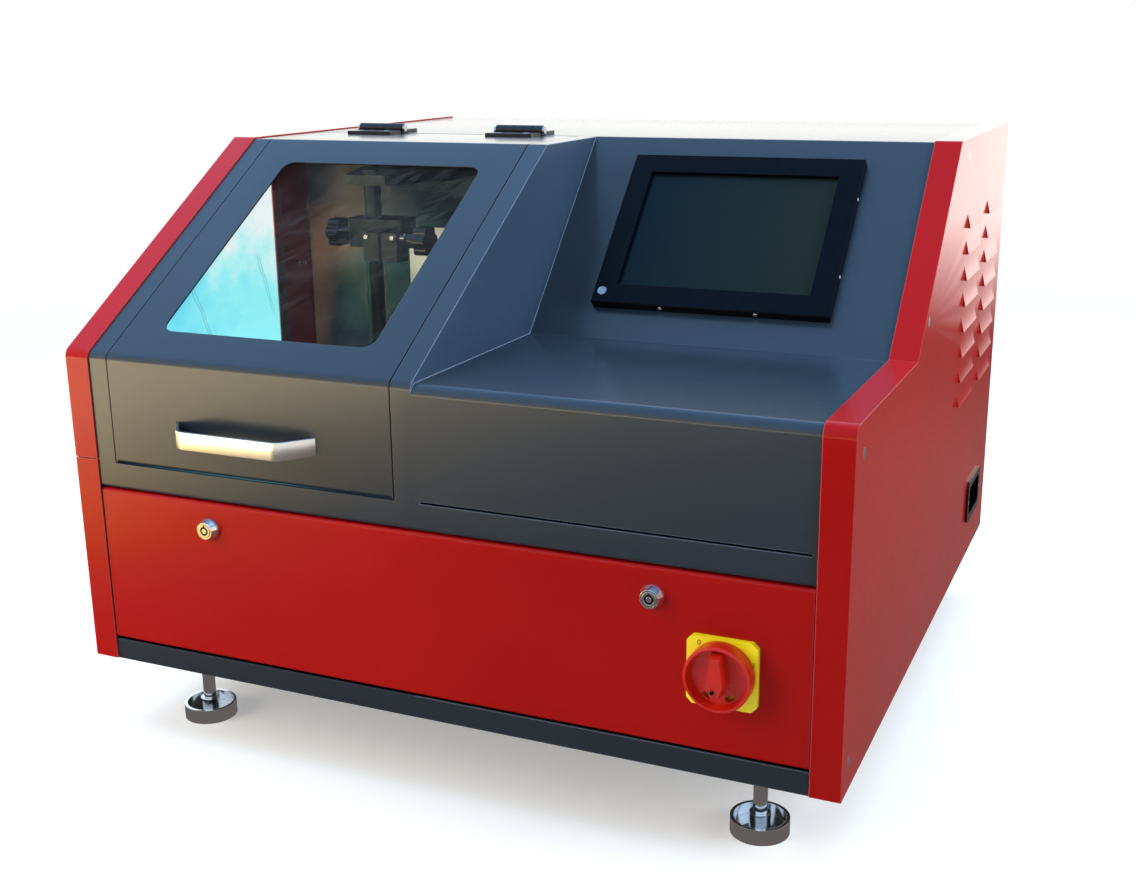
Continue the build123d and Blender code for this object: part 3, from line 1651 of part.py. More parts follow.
# Fuel filter: a head on the chamber's back wall and a canister below it
filter_centre_x = left + filter_x
filter_y = wall_back_y + filter_stand
filter_z = bottom + filter_height
with BuildPart() as fuel_filter:
    start = (filter_centre_x, filter_y, filter_z)
    rod(start, to_floor, filter_radius, filter_length)
    rod(start, to_floor, filter_boss_radius, filter_length + filter_boss_rise)
    block(
        (filter_centre_x - filter_head_width / 2, filter_centre_x + filter_head_width / 2),
        (wall_back_y, filter_y + filter_radius / 2),
        (filter_z, filter_z + filter_head_rise),
    )
    nipple_z = filter_z + filter_head_rise / 2
    nipple_x = filter_head_width / 2 + filter_nipple_length
    start = (filter_centre_x - nipple_x, filter_y, nipple_z)
    rod(start, to_right, filter_nipple, 2 * nipple_x)
save(fuel_filter.part, "fuel_filter")

# Cooling fan: a frame behind the back panel's opening, its rotor and the guard
fan_rear_y = back - sheet
fan_front_y = fan_rear_y - fan_depth
rotor_front_y = fan_front_y + fan_hub_depth + fan_rotor_gap
spindle_length = fan_hub_depth + fan_rotor_gap + fan_rotor_depth / 2
with BuildPart() as fan_frame:
    with BuildSketch(front_plane(fan_rear_y)):
        with Locations((fan_centre_x, fan_centre_z)):
            RectangleRounded(fan_side, fan_side, fan_corner_radius)
            Circle(fan_bore, mode=Mode.SUBTRACT)
    extrude(amount=fan_depth)
    with BuildSketch(front_plane(fan_front_y + fan_hub_depth)):
        with Locations((fan_centre_x, fan_centre_z)):
            Circle(fan_hub)
            with PolarLocations(fan_bore / 2, fan_struts, start_angle=45):
                Rectangle(fan_bore + fan_strut, fan_strut)
    extrude(amount=fan_hub_depth)
    start = (fan_centre_x, fan_front_y, fan_centre_z)
    rod(start, to_back, fan_spindle, spindle_length)
save(fan_frame.part, "fan_frame")

with BuildPart() as fan_rotor:
    start = (fan_centre_x, rotor_front_y, fan_centre_z)
    rod(start, to_back, fan_hub, fan_rotor_depth)
    middle = (fan_centre_x, rotor_front_y + fan_rotor_depth / 2, fan_centre_z)
    for blade in range(fan_blades):
        angle = 2 * pi * blade / fan_blades
        outwards = (cos(angle), 0, sin(angle))
        blade_plane = Plane(origin=middle, x_dir=to_back, z_dir=outwards)
        with BuildSketch(blade_plane.offset(fan_hub - fan_blade_thick)):
            Rectangle(fan_blade_chord, fan_blade_thick, rotation=fan_blade_tilt)
        extrude(amount=fan_bore - fan_tip_gap - fan_hub + fan_blade_thick)
    bore = fan_spindle + fan_spindle_running
    bore_start = (fan_centre_x, rotor_front_y - cut_overrun, fan_centre_z)
    rod(bore_start, to_back, bore, cut_overrun + fan_rotor_depth * 3 / 4, Mode.SUBTRACT)
save(fan_rotor.part, "fan_rotor")

with BuildPart() as fan_guard:
    with BuildSketch(front_plane(back + guard_wire)):
        with Locations((fan_centre_x, fan_centre_z)):
            for turn in (45, -45):
                Rectangle(guard_bar_length, guard_wire, rotation=turn)
    extrude(amount=guard_wire)
    ring_pitch = (fan_bore - guard_wire) / guard_rings
    with BuildSketch(front_plane(back + guard_reach)):
        with Locations((fan_centre_x, fan_centre_z)):
            for ring in range(guard_rings, 0, -1):
                Circle(ring_pitch * ring + guard_wire / 2)
                Circle(ring_pitch * ring - guard_wire / 2, mode=Mode.SUBTRACT)
    extrude(amount=guard_reach - guard_wire)
save(fan_guard.part, "fan_guard")

# Power supply, control board and the motor's inverter
supply_x = left + supply_left
supply_y = front + supply_front
with BuildPart() as power_supply:
    block(
        (supply_x, supply_x + supply_width),
        (supply_y, supply_y + supply_depth),
        (floor_z, floor_z + supply_rise),
    )
    block(
        (supply_x + supply_wall, supply_x + supply_width - supply_wall),
        (supply_y - cut_overrun, supply_y + supply_depth - supply_wall),
        (floor_z + supply_wall, floor_z + supply_rise - supply_wall),
        Mode.SUBTRACT,
    )
    block(
        (supply_x, supply_x + supply_width),
        (supply_y, supply_y + supply_terminal_depth),
        (floor_z, floor_z + supply_terminal_rise),
    )
save(power_supply.part, "power_supply")

inverter_x = right - inverter_inset
inverter_y = front + inverter_front
with BuildPart() as inverter:
    block(
        (inverter_x, inverter_x + inverter_width),
        (inverter_y, inverter_y + inverter_depth),
        (floor_z, floor_z + inverter_rise),
    )
    fin_span = inverter_width - inverter_fin
    for fin in range(inverter_fins):
        fin_x = inverter_x + fin_span * fin / (inverter_fins - 1)
        block(
            (fin_x, fin_x + inverter_fin),
            (inverter_y + inverter_depth, inverter_y + inverter_depth + inverter_fin_depth),
            (floor_z, floor_z + inverter_rise),
        )
save(inverter.part, "inverter")

board_x = liner_right + board_standoff
board_y = front + board_front
board_z = bottom + board_low
with BuildPart() as control_board:
    block(
        (board_x, board_x + board_thick),
        (board_y, board_y + board_depth),
        (board_z, board_z + board_rise),
    )
    for standoff_y in (board_y + board_inset, board_y + board_depth - board_inset):
        for standoff_z in (board_z + board_inset, board_z + board_rise - board_inset):
            start = (liner_right, standoff_y, standoff_z)
            rod(start, to_right, board_standoff_radius, board_standoff)
    chip_y = board_y + (board_depth - board_chip) / 2
    chip_z = board_z + (board_rise - board_chip) / 2
    block(
        (board_x + board_thick, board_x + board_thick + board_chip_rise),
        (chip_y, chip_y + board_chip),
        (chip_z, chip_z + board_chip),
    )
save(control_board.part, "control_board")

# Power inlet: a recessed socket with three pins, clipped into the right cover
with BuildPart() as power_inlet:
    with BuildSketch(side_plane(right - inlet_body_depth)):
        with Locations((inlet_y, inlet_z)):
            RectangleRounded(
                inlet_width - 2 * inlet_running, inlet_rise - 2 * inlet_running, bend_radius
            )
    extrude(amount=inlet_body_depth)
    with BuildSketch(side_plane(right)):
        with Locations((inlet_y, inlet_z)):
            RectangleRounded(
                inlet_width + 2 * inlet_border, inlet_rise + 2 * inlet_border, inlet_corner
            )
    extrude(amount=inlet_lip)
    with BuildSketch(side_plane(right - inlet_recess)):
        with Locations((inlet_y, inlet_z)):
            RectangleRounded(
                inlet_width - 2 * inlet_wall, inlet_rise - 2 * inlet_wall, inlet_corner
            )
    extrude(amount=inlet_recess + inlet_lip, mode=Mode.SUBTRACT)
    for pin in (-1, 0, 1):
        pin_y = inlet_y + pin * inlet_pin_pitch - inlet_pin_thick / 2
        pin_z = inlet_z - inlet_pin_height / 2
        block(
            (right - inlet_recess, right - inlet_recess + inlet_pin_length),
            (pin_y, pin_y + inlet_pin_thick),
            (pin_z, pin_z + inlet_pin_height),
        )
save(power_inlet.part, "power_inlet")

# Levelling feet: a stud held by two nuts and a cupped pad that stands on the floor
with BuildPart() as foot_nuts:
    bore = foot_stud / 2 + foot_nut_running
    for x, y in foot_places:
        hex_bar((x, y, bottom), to_floor, foot_nut, foot_nut_rise)
        hex_bar((x, y, floor_z), to_top, foot_nut, foot_nut_rise)
        start = (x, y, bottom - foot_nut_rise - cut_overrun)
        length = 2 * foot_nut_rise + base_sheet + 2 * cut_overrun
        rod(start, to_top, bore, length, Mode.SUBTRACT)
save(foot_nuts.part, "foot_nuts")


def levelling_foot(x, y):
    """A cupped pad with a neck, and the threaded stud that stands in it."""
    place = (x, y, 0)
    with BuildPart() as foot:
        rod(place, to_top, foot_pad_radius, foot_pad_rise)
        cup_start = (x, y, foot_pad_floor)
        rod(cup_start, to_top, foot_pad_radius - foot_rim, foot_pad_rise, Mode.SUBTRACT)
        rod(place, to_top, foot_neck_radius, foot_pad_floor + foot_neck_rise)
        rod(place, to_top, foot_stud / 2, bottom + foot_stud_top)
    return foot.part


foot_names = ("foot_front_left", "foot_front_right", "foot_rear_left", "foot_rear_right")
for foot_name, foot_place in zip(foot_names, foot_places):
    save(levelling_foot(*foot_place), foot_name)
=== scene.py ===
import json
import math

import bmesh
import bpy
from mathutils import Matrix, Vector


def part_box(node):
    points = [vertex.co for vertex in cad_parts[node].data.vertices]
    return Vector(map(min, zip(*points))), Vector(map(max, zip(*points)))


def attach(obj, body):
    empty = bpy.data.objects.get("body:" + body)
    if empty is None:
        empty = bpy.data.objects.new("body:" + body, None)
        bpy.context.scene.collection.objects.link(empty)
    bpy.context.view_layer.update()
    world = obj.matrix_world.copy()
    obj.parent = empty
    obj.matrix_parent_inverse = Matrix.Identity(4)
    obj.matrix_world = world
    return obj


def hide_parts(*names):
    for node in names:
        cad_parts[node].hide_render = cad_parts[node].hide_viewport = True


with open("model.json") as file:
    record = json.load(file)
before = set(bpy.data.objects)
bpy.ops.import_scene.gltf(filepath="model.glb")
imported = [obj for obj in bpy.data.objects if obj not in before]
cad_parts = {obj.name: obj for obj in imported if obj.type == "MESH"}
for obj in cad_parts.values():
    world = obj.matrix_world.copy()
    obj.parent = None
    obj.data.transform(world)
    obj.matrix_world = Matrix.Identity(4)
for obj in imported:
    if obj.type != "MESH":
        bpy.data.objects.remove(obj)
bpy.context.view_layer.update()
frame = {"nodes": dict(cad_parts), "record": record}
nodes = frame["nodes"]
MM = 0.001
SMALL_EDGE = 0.4 * MM


# Ways of making a finish

def new_finish(name):
    """An empty material with a shader and the coordinates of the piece it is on."""
    finish = bpy.data.materials.new(name)
    finish.use_nodes = True
    tree = finish.node_tree
    tree.nodes.clear()
    result = tree.nodes.new("ShaderNodeOutputMaterial")
    shader = tree.nodes.new("ShaderNodeBsdfPrincipled")
    tree.links.new(shader.outputs["BSDF"], result.inputs["Surface"])
    place = tree.nodes.new("ShaderNodeTexCoord").outputs["Object"]
    return finish, tree, shader, place


def stretched(tree, place, stretch, turn=(0, 0, 0)):
    """Coordinates turned and then scaled along each axis, for grain that runs one way."""
    for name, value in (("Rotation", turn), ("Scale", stretch)):
        mapping = tree.nodes.new("ShaderNodeMapping")
        mapping.inputs[name].default_value = value
        tree.links.new(place, mapping.inputs["Vector"])
        place = mapping.outputs["Vector"]
    return place


def mottle(tree, place, size, detail=2.0, softness=0.5):
    """Smooth random patches of about the given size in metres."""
    noise = tree.nodes.new("ShaderNodeTexNoise")
    noise.inputs["Scale"].default_value = 1 / size
    noise.inputs["Detail"].default_value = detail
    noise.inputs["Roughness"].default_value = softness
    tree.links.new(place, noise.inputs["Vector"])
    return noise.outputs["Fac"]


def spread(tree, value, low, high, start=0.3, end=0.7):
    """A value moved from the range start to end into low to high."""
    node = tree.nodes.new("ShaderNodeMapRange")
    node.inputs["From Min"].default_value = start
    node.inputs["From Max"].default_value = end
    node.inputs["To Min"].default_value = low
    node.inputs["To Max"].default_value = high
    tree.links.new(value, node.inputs["Value"])
    return node.outputs["Result"]


def blended(tree, share, first, second):
    """Two colours, or a colour over a socket, mixed by a share."""
    mix = tree.nodes.new("ShaderNodeMix")
    mix.data_type = "RGBA"
    first_colour, second_colour, mixed_colour = mix.inputs[6], mix.inputs[7], mix.outputs[2]
    tree.links.new(share, mix.inputs["Factor"])
    for socket, colour in ((first_colour, first), (second_colour, second)):
        if isinstance(colour, tuple):
            socket.default_value = (*colour, 1)
        else:
            tree.links.new(colour, socket)
    return mixed_colour


def raised(tree, shader, height, depth, edge=0.0):
    """Grain of the given depth, over edges that a real tool would have rounded."""
    bump = tree.nodes.new("ShaderNodeBump")
    bump.inputs["Distance"].default_value = depth
    tree.links.new(height, bump.inputs["Height"])
    if edge:
        tree.links.new(rounded_normal(tree, edge), bump.inputs["Normal"])
    tree.links.new(bump.outputs["Normal"], shader.inputs["Normal"])


def rounded_normal(tree, radius):
    """The surface's facing as if each sharp edge were rounded."""
    rounding = tree.nodes.new("ShaderNodeBevel")
    rounding.samples = 6
    rounding.inputs["Radius"].default_value = radius
    return rounding.outputs["Normal"]


def near_edges(tree, place, radius, from_x):
    """1 along sharp edges, 0 on flat and softly bent faces and left of from_x."""
    at_edge, on_face = 0.86, 0.995
    product = tree.nodes.new("ShaderNodeVectorMath")
    product.operation = "DOT_PRODUCT"
    tree.links.new(rounded_normal(tree, radius), product.inputs[0])
    tree.links.new(tree.nodes.new("ShaderNodeNewGeometry").outputs["Normal"], product.inputs[1])
    axes = tree.nodes.new("ShaderNodeSeparateXYZ")
    tree.links.new(place, axes.inputs["Vector"])
    reached = spread(tree, axes.outputs["X"], 0, 1, from_x - MM, from_x)
    return sums(tree, "MULTIPLY", reached, spread(tree, product.outputs["Value"], 1, 0, at_edge, on_face))


NO_SKIN = (0.0, 1.5, 0.1)


def powder_coat(name, colour, shade, rough, shine=0.5, skin=NO_SKIN, edge=1.4 * MM, edge_highlight=None):
    """Baked powder paint: a fine pebbled body under a smooth skin of (share, index, roughness).

    With an edge highlight, a pale colour is painted along its sharp edges as a highlight: (the pale colour,
    the x from which it shows).
    """
    finish, tree, shader, place = new_finish(name)
    slow = mottle(tree, place, size=260 * MM, detail=2)
    fine = mottle(tree, place, size=7 * MM, detail=6, softness=0.7)
    tone = blended(tree, spread(tree, slow, 0, 1), colour, shade)
    dust_gain, dust_lift, most_dust = 1.2, 0.006, 0.5
    dusty = tuple(min(1, dust_gain * channel + dust_lift) for channel in colour)
    specks = spread(tree, fine, 0, most_dust, start=0.66, end=0.80)
    tone = blended(tree, specks, tone, dusty)
    # Painted highlight: the pale colour along sharp edges stands in for light catching them.
    if edge_highlight:
        pale, from_x = edge_highlight
        tone = blended(tree, near_edges(tree, place, edge, from_x), tone, pale)
    tree.links.new(tone, shader.inputs["Base Color"])
    tree.links.new(spread(tree, fine, rough - 0.02, rough + 0.05), shader.inputs["Roughness"])
    shader.inputs["Specular IOR Level"].default_value = shine
    for socket, value in zip(("Coat Weight", "Coat IOR", "Coat Roughness"), skin):
        shader.inputs[socket].default_value = value
    raised(tree, shader, mottle(tree, place, size=1.1 * MM, detail=1), depth=0.018 * MM, edge=edge)
    return finish


def moulded_plastic(name, colour, shade, rough, shine=0.5, grain=0.5 * MM, depth=0.01 * MM, coat=0.0):
    """Moulded plastic with a faint spark-eroded skin."""
    finish, tree, shader, place = new_finish(name)
    slow = mottle(tree, place, size=18 * MM, detail=4, softness=0.6)
    tree.links.new(blended(tree, spread(tree, slow, 0, 1), colour, shade), shader.inputs["Base Color"])
    tree.links.new(spread(tree, slow, rough - 0.04, rough + 0.07), shader.inputs["Roughness"])
    shader.inputs["Specular IOR Level"].default_value = shine
    shader.inputs["Coat Weight"].default_value = coat
    shader.inputs["Coat Roughness"].default_value = 0.08
    raised(tree, shader, mottle(tree, place, grain, detail=1), depth, edge=SMALL_EDGE)
    return finish


def worked_metal(name, colour, shade, rough, stretch=(1, 1, 1), grain=0.8 * MM, depth=0.008 * MM):
    """Bare metal with fine tool marks, drawn out along one axis by the stretch."""
    finish, tree, shader, place = new_finish(name)
    shader.inputs["Metallic"].default_value = 1
    marks = mottle(tree, stretched(tree, place, stretch), grain, detail=3, softness=0.6)
    slow = mottle(tree, place, size=40 * MM, detail=4)
    tree.links.new(blended(tree, spread(tree, slow, 0, 1), colour, shade), shader.inputs["Base Color"])
    tree.links.new(spread(tree, marks, rough - 0.05, rough + 0.10), shader.inputs["Roughness"])
    raised(tree, shader, marks, depth, edge=SMALL_EDGE)
    return finish


def cast_skin(name, colour, shade, rough, grain=2.2 * MM, depth=0.12 * MM, metallic=0.0):
    """A sand-cast skin, painted or bare."""
    finish, tree, shader, place = new_finish(name)
    shader.inputs["Metallic"].default_value = metallic
    skin = mottle(tree, place, grain, detail=4, softness=0.6)
    slow = mottle(tree, place, size=60 * MM, detail=3)
    tree.links.new(blended(tree, spread(tree, slow, 0, 1), colour, shade), shader.inputs["Base Color"])
    tree.links.new(spread(tree, skin, rough - 0.06, rough + 0.10), shader.inputs["Roughness"])
    raised(tree, shader, skin, depth, edge=0.8 * MM)
    return finish


def see_through(tree, shader, tint, share):
    """Lets a share of the view pass the surface, in the colour of a socket."""
    gap = tree.nodes.new("ShaderNodeBsdfTransparent")
    tree.links.new(tint, gap.inputs["Color"])
    mix = tree.nodes.new("ShaderNodeMixShader")
    mix.inputs["Fac"].default_value = share
    tree.links.new(shader.outputs["BSDF"], mix.inputs[1])
    tree.links.new(gap.outputs["BSDF"], mix.inputs[2])
    result = next(node for node in tree.nodes if node.type == "OUTPUT_MATERIAL")
    tree.links.new(mix.outputs["Shader"], result.inputs["Surface"])


def sums(tree, operation, first, second):
    """One sum on two values or sockets."""
    node = tree.nodes.new("ShaderNodeMath")
    node.operation = operation
    for socket, value in zip(node.inputs, (first, second)):
        if isinstance(value, (int, float)):
            socket.default_value = value
        else:
            tree.links.new(value, socket)
    return node.outputs["Value"]


def streaked_pane(name, colour, clear, streak_alpha, slope):
    """A clear pane with pale diagonal streaks painted in as reflections on the glass."""
    finish, tree, shader, place = new_finish(name)
    streak_angle, streak_length = math.radians(42), 0.07
    flat = stretched(tree, place, (1, 1, 1), turn=(-slope, 0, 0))
    along = stretched(tree, flat, (1, streak_length, 1), turn=(0, 0, streak_angle))
    streak_grain = mottle(tree, along, size=5 * MM, detail=5, softness=0.75)
    cloudy = mottle(tree, place, size=90 * MM, detail=2)
    # Painted reflection: pale diagonal streaks on the glass.
    lines = spread(tree, streak_grain, 0, 1, start=0.42, end=0.75)
    patches = spread(tree, cloudy, 0, 1, start=0.38, end=0.6)
    streaks = sums(tree, "MULTIPLY", lines, patches)
    tree.links.new(spread(tree, streaks, clear, streak_alpha, 0, 1), shader.inputs["Alpha"])
    paler = tuple(1.3 * channel for channel in colour)
    tree.links.new(blended(tree, streaks, colour, paler), shader.inputs["Base Color"])
    shader.inputs["Roughness"].default_value = 0.06
    raised(tree, shader, cloudy, depth=0.02 * MM)
    return finish


def crease(tree, place, foot, head, width, sway):
    """A share that is 1 along a thin wavering line from foot to head, in y and z."""
    fade = 10 * MM
    axes = tree.nodes.new("ShaderNodeSeparateXYZ")
    tree.links.new(place, axes.inputs["Vector"])
    rise = (head[0] - foot[0]) / (head[1] - foot[1])
    height = sums(tree, "SUBTRACT", axes.outputs["Z"], foot[1])
    line = sums(tree, "ADD", sums(tree, "MULTIPLY", height, rise), foot[0])
    waver = spread(tree, mottle(tree, place, size=30 * MM, detail=2), -sway, sway)
    away = sums(tree, "SUBTRACT", axes.outputs["Y"], sums(tree, "ADD", line, waver))
    on_line = spread(tree, sums(tree, "ABSOLUTE", away, 0), 1, 0, 0, width)
    below_head = spread(tree, axes.outputs["Z"], 1, 0, head[1] - fade, head[1])
    above_foot = spread(tree, axes.outputs["Z"], 0, 1, foot[1], foot[1] + fade)
    return sums(tree, "MULTIPLY", on_line, sums(tree, "MULTIPLY", below_head, above_foot))


def lit_film(name, deep, pale, painted_highlight, pane_box):
    """Blue film on a clear pane: it glows with the light behind it; its tint is paler towards the back,
    with a painted near-white highlight towards the top and painted shade along two creases.
    """
    finish, tree, shader, place = new_finish(name)
    low, high = pane_box
    depth, height = high.y - low.y, high.z - low.z
    axes = tree.nodes.new("ShaderNodeSeparateXYZ")
    tree.links.new(place, axes.inputs["Vector"])
    cloud = mottle(tree, place, size=55 * MM, detail=4, softness=0.6)
    drift_up, drift_back = 0.2 * height, 0.3 * depth
    upwards = sums(tree, "ADD", axes.outputs["Z"], spread(tree, cloud, -drift_up, drift_up))
    backwards = sums(tree, "ADD", axes.outputs["Y"], spread(tree, cloud, -drift_back, drift_back))
    tint = blended(tree, spread(tree, backwards, 0, 1, low.y, low.y + 0.75 * depth), deep, pale)
    # Painted highlight: the tint turns near-white towards the top.
    top = spread(tree, upwards, 0, 1, low.z + 0.45 * height, low.z + 0.75 * height)
    tint = blended(tree, top, tint, painted_highlight)
    # Painted shade: two creases darkened in the tint.
    fold_end_shares = (((0.62, 0.0), (0.47, 0.50)), ((0.93, 0.22), (0.84, 0.58)))
    crease_shade_colour = tuple(0.35 * channel for channel in deep)
    crease_shade_strength = 0.42
    for foot, head in fold_end_shares:
        ends = [(low.y + depth * y, low.z + height * z) for y, z in (foot, head)]
        line = crease(tree, place, *ends, width=1.5 * MM, sway=2.4 * MM)
        tint = blended(tree, sums(tree, "MULTIPLY", line, crease_shade_strength), tint, crease_shade_colour)
    tree.links.new(tint, shader.inputs["Base Color"])
    shader.inputs["Roughness"].default_value = 0.3
    raised(tree, shader, cloud, depth=0.6 * MM)
    see_through(tree, shader, tint, share=0.94)
    return finish


def reflection_patched_paint(name, colour, painted_reflection, rough):
    """Inner walls in gloss paint, with broad brown patches painted in as the ground outside mirrored in it.
    """
    finish, tree, shader, place = new_finish(name)
    upright = stretched(tree, place, (1, 1, 0.45))
    patches = mottle(tree, upright, size=80 * MM, detail=1.5)
    share = spread(tree, patches, 0, 0.8, start=0.42, end=0.66)
    # Painted reflection: brown patches for the ground mirrored in the gloss.
    tree.links.new(blended(tree, share, colour, painted_reflection), shader.inputs["Base Color"])
    slow = mottle(tree, place, size=40 * MM, detail=4)
    tree.links.new(spread(tree, slow, rough - 0.04, rough + 0.08), shader.inputs["Roughness"])
    shader.inputs["Specular IOR Level"].default_value = 0.16
    raised(tree, shader, mottle(tree, place, size=1.1 * MM, detail=1), depth=0.02 * MM, edge=0.7 * MM)
    return finish


def dark_screen(name, left, right, ends):
    """A switched-off panel; the painted reflection on its dark glass turns from blue to green-grey across.
    """
    finish, tree, shader, place = new_finish(name)
    axes = tree.nodes.new("ShaderNodeSeparateXYZ")
    tree.links.new(place, axes.inputs["Vector"])
    # Painted reflection: blue at the left, green-grey at the right.
    share = spread(tree, axes.outputs["X"], 0, 1, ends[0].x, ends[1].x)
    tree.links.new(blended(tree, share, left, right), shader.inputs["Base Color"])
    smears = mottle(tree, stretched(tree, place, (1, 1, 0.4)), size=50 * MM, detail=4)
    tree.links.new(spread(tree, smears, low=0.30, high=0.42), shader.inputs["Roughness"])
    shader.inputs["Specular IOR Level"].default_value = 0.13
    return finish


# The screen's slope, by its rise and run in millimetres
slope_rise, slope_run = 172, 164.5
slope_angle = math.atan2(slope_rise, slope_run)

finishes = {
    # The red and dark paints get a painted highlight along their sharp edges.
    "red_paint": powder_coat(
        "red_paint", (0.42, 0.003, 0.002), (0.35, 0.002, 0.001), rough=0.34, shine=0.06,
        skin=(1.0, 1.27, 0.12), edge_highlight=((0.66, 0.10, 0.09), -1),
    ),
    "dark_paint": powder_coat(
        "dark_paint", (0.012, 0.019, 0.029), (0.014, 0.022, 0.033), rough=0.36, shine=0.40,
        skin=(0.8, 1.36, 0.16), edge_highlight=((0.12, 0.15, 0.20), -12 * MM),
    ),
    "inner_paint": reflection_patched_paint("inner_paint", (0.010, 0.018, 0.028), (0.19, 0.112, 0.066), rough=0.24),
    "cream_paint": powder_coat("cream_paint", (0.74, 0.69, 0.58), (0.68, 0.62, 0.51), rough=0.42),
    "filter_paint": powder_coat("filter_paint", (0.03, 0.03, 0.034), (0.04, 0.04, 0.045), rough=0.28),
    "hinge_black": powder_coat(
        "hinge_black", (0.006, 0.006, 0.008), (0.01, 0.01, 0.012), rough=0.30, edge=0.5 * MM
    ),
    "satin_aluminium": worked_metal(
        "satin_aluminium", (0.92, 0.91, 0.88), (0.87, 0.86, 0.84), rough=0.30,
        stretch=(0.05, 1, 1), grain=0.4 * MM,
    ),
    "clamp_metal": worked_metal("clamp_metal", (0.012, 0.015, 0.015), (0.018, 0.022, 0.022), rough=0.34),
    "polished_steel": worked_metal("polished_steel", (0.80, 0.81, 0.82), (0.74, 0.75, 0.76), rough=0.08),
    "steel": worked_metal("steel", (0.42, 0.42, 0.43), (0.34, 0.34, 0.35), rough=0.26, stretch=(1, 1, 0.1)),
    "zinc_steel": worked_metal("zinc_steel", (0.62, 0.63, 0.64), (0.54, 0.55, 0.57), rough=0.28),
    "tray_steel": worked_metal(
        "tray_steel", (0.12, 0.12, 0.13), (0.09, 0.09, 0.10), rough=0.42,
        stretch=(0.04, 1, 1), grain=0.5 * MM,
    ),
    "clear_pane": streaked_pane(
        "clear_pane", (0.42, 0.46, 0.50), clear=0.008, streak_alpha=0.065, slope=slope_angle
    ),
    "film_pane": lit_film(
        "film_pane", deep=(0.34, 0.84, 0.96), pale=(0.56, 0.98, 0.99), painted_highlight=(0.95, 1.0, 1.0),
        pane_box=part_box("left_side_window"),
    ),
    "black_plastic": moulded_plastic(
        "black_plastic", (0.002, 0.002, 0.003), (0.003, 0.003, 0.004), rough=0.12, shine=0.22, coat=0.2
    ),
    "gloss_black": moulded_plastic(
        "gloss_black", (0.001, 0.002, 0.005), (0.002, 0.003, 0.007), rough=0.34, shine=0.08
    ),
    "screen_glass": dark_screen(
        "screen_glass", left=(0.001, 0.008, 0.015), right=(0.010, 0.017, 0.014),
        ends=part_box("monitor_screen"),
    ),
    "yellow_plastic": moulded_plastic(
        "yellow_plastic", (0.98, 0.87, 0.008), (0.96, 0.83, 0.008), rough=0.30
    ),
    "red_plastic": moulded_plastic("red_plastic", (0.62, 0.016, 0.006), (0.52, 0.012, 0.005), rough=0.30),
    "grey_plastic": moulded_plastic("grey_plastic", (0.30, 0.31, 0.33), (0.26, 0.27, 0.29), rough=0.45),
    "board_green": moulded_plastic("board_green", (0.02, 0.14, 0.06), (0.02, 0.10, 0.05), rough=0.35),
    "motor_paint": cast_skin("motor_paint", (0.10, 0.14, 0.18), (0.08, 0.11, 0.15), rough=0.42),
    "pump_metal": cast_skin("pump_metal", (0.42, 0.43, 0.44), (0.34, 0.35, 0.36), rough=0.40, metallic=1.0),
}
slot_of_node = {part["node"]: part["material_slot"] for part in frame["record"]["subparts"]}


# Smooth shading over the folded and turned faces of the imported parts

def tree_input(tree, name, kind, value=None):
    """A named input of a geometry tree; its identifier is what a modifier sets."""
    socket = tree.interface.new_socket(name, in_out="INPUT", socket_type=kind)
    if value is not None:
        socket.default_value = value
    return socket.identifier


def new_tree(name):
    """A geometry tree with its input and output."""
    tree = bpy.data.node_groups.new(name, "GeometryNodeTree")
    tree.interface.new_socket("Geometry", in_out="INPUT", socket_type="NodeSocketGeometry")
    tree.interface.new_socket("Geometry", in_out="OUTPUT", socket_type="NodeSocketGeometry")
    return tree


def shading_tree():
    """Welds a part's facets and shades them smooth up to the fold angle."""
    tree = new_tree("smooth_folds")
    tree_input(tree, "Weld Distance", "NodeSocketFloat", 0.01 * MM)
    tree_input(tree, "Fold Angle", "NodeSocketFloat", math.radians(28))
    source = tree.nodes.new("NodeGroupInput")
    result = tree.nodes.new("NodeGroupOutput")
    weld = tree.nodes.new("GeometryNodeMergeByDistance")
    plain = tree.nodes.new("GeometryNodeRemoveAttribute")
    plain.inputs["Name"].default_value = "custom_normal"
    faces = tree.nodes.new("GeometryNodeSetShadeSmooth")
    edges = tree.nodes.new("GeometryNodeSetShadeSmooth")
    edges.domain = "EDGE"
    edges.inputs["Shade Smooth"].default_value = False
    angle = tree.nodes.new("GeometryNodeInputMeshEdgeAngle")
    sharp = tree.nodes.new("FunctionNodeCompare")
    link = tree.links.new
    link(source.outputs["Geometry"], plain.inputs["Geometry"])
    link(plain.outputs["Geometry"], weld.inputs["Geometry"])
    link(source.outputs["Weld Distance"], weld.inputs["Distance"])
    link(weld.outputs["Geometry"], faces.inputs["Geometry"])
    link(faces.outputs["Geometry"], edges.inputs["Geometry"])
    link(angle.outputs["Unsigned Angle"], sharp.inputs[0])
    link(source.outputs["Fold Angle"], sharp.inputs[1])
    link(sharp.outputs["Result"], edges.inputs["Selection"])
    link(edges.outputs["Geometry"], result.inputs["Geometry"])
    return tree


smooth_folds = shading_tree()
for node_name, node_object in nodes.items():
    node_object.data.materials.clear()
    node_object.data.materials.append(finishes[slot_of_node[node_name]])
    shading = node_object.modifiers.new("smooth_folds", "NODES")
    shading.node_group = smooth_folds


# Small fasteners, set out by a geometry tree

def recess_outline(kind, radius):
    """The outline of a driver's recess: a cross or a hexagon."""
    if kind == "hex":
        turns = [math.radians(60 * corner) for corner in range(6)]
        return [Vector((radius * math.cos(turn), radius * math.sin(turn), 0)) for turn in turns]
    arm_share = 0.28
    arm = arm_share * radius
    quarter = [(radius, -arm), (radius, arm), (arm, arm)]
    points = []
    for turn in range(4):
        spin = Matrix.Rotation(turn * math.pi / 2, 3, "Z")
        points += [spin @ Vector((x, y, 0)) for x, y in quarter]
    return points


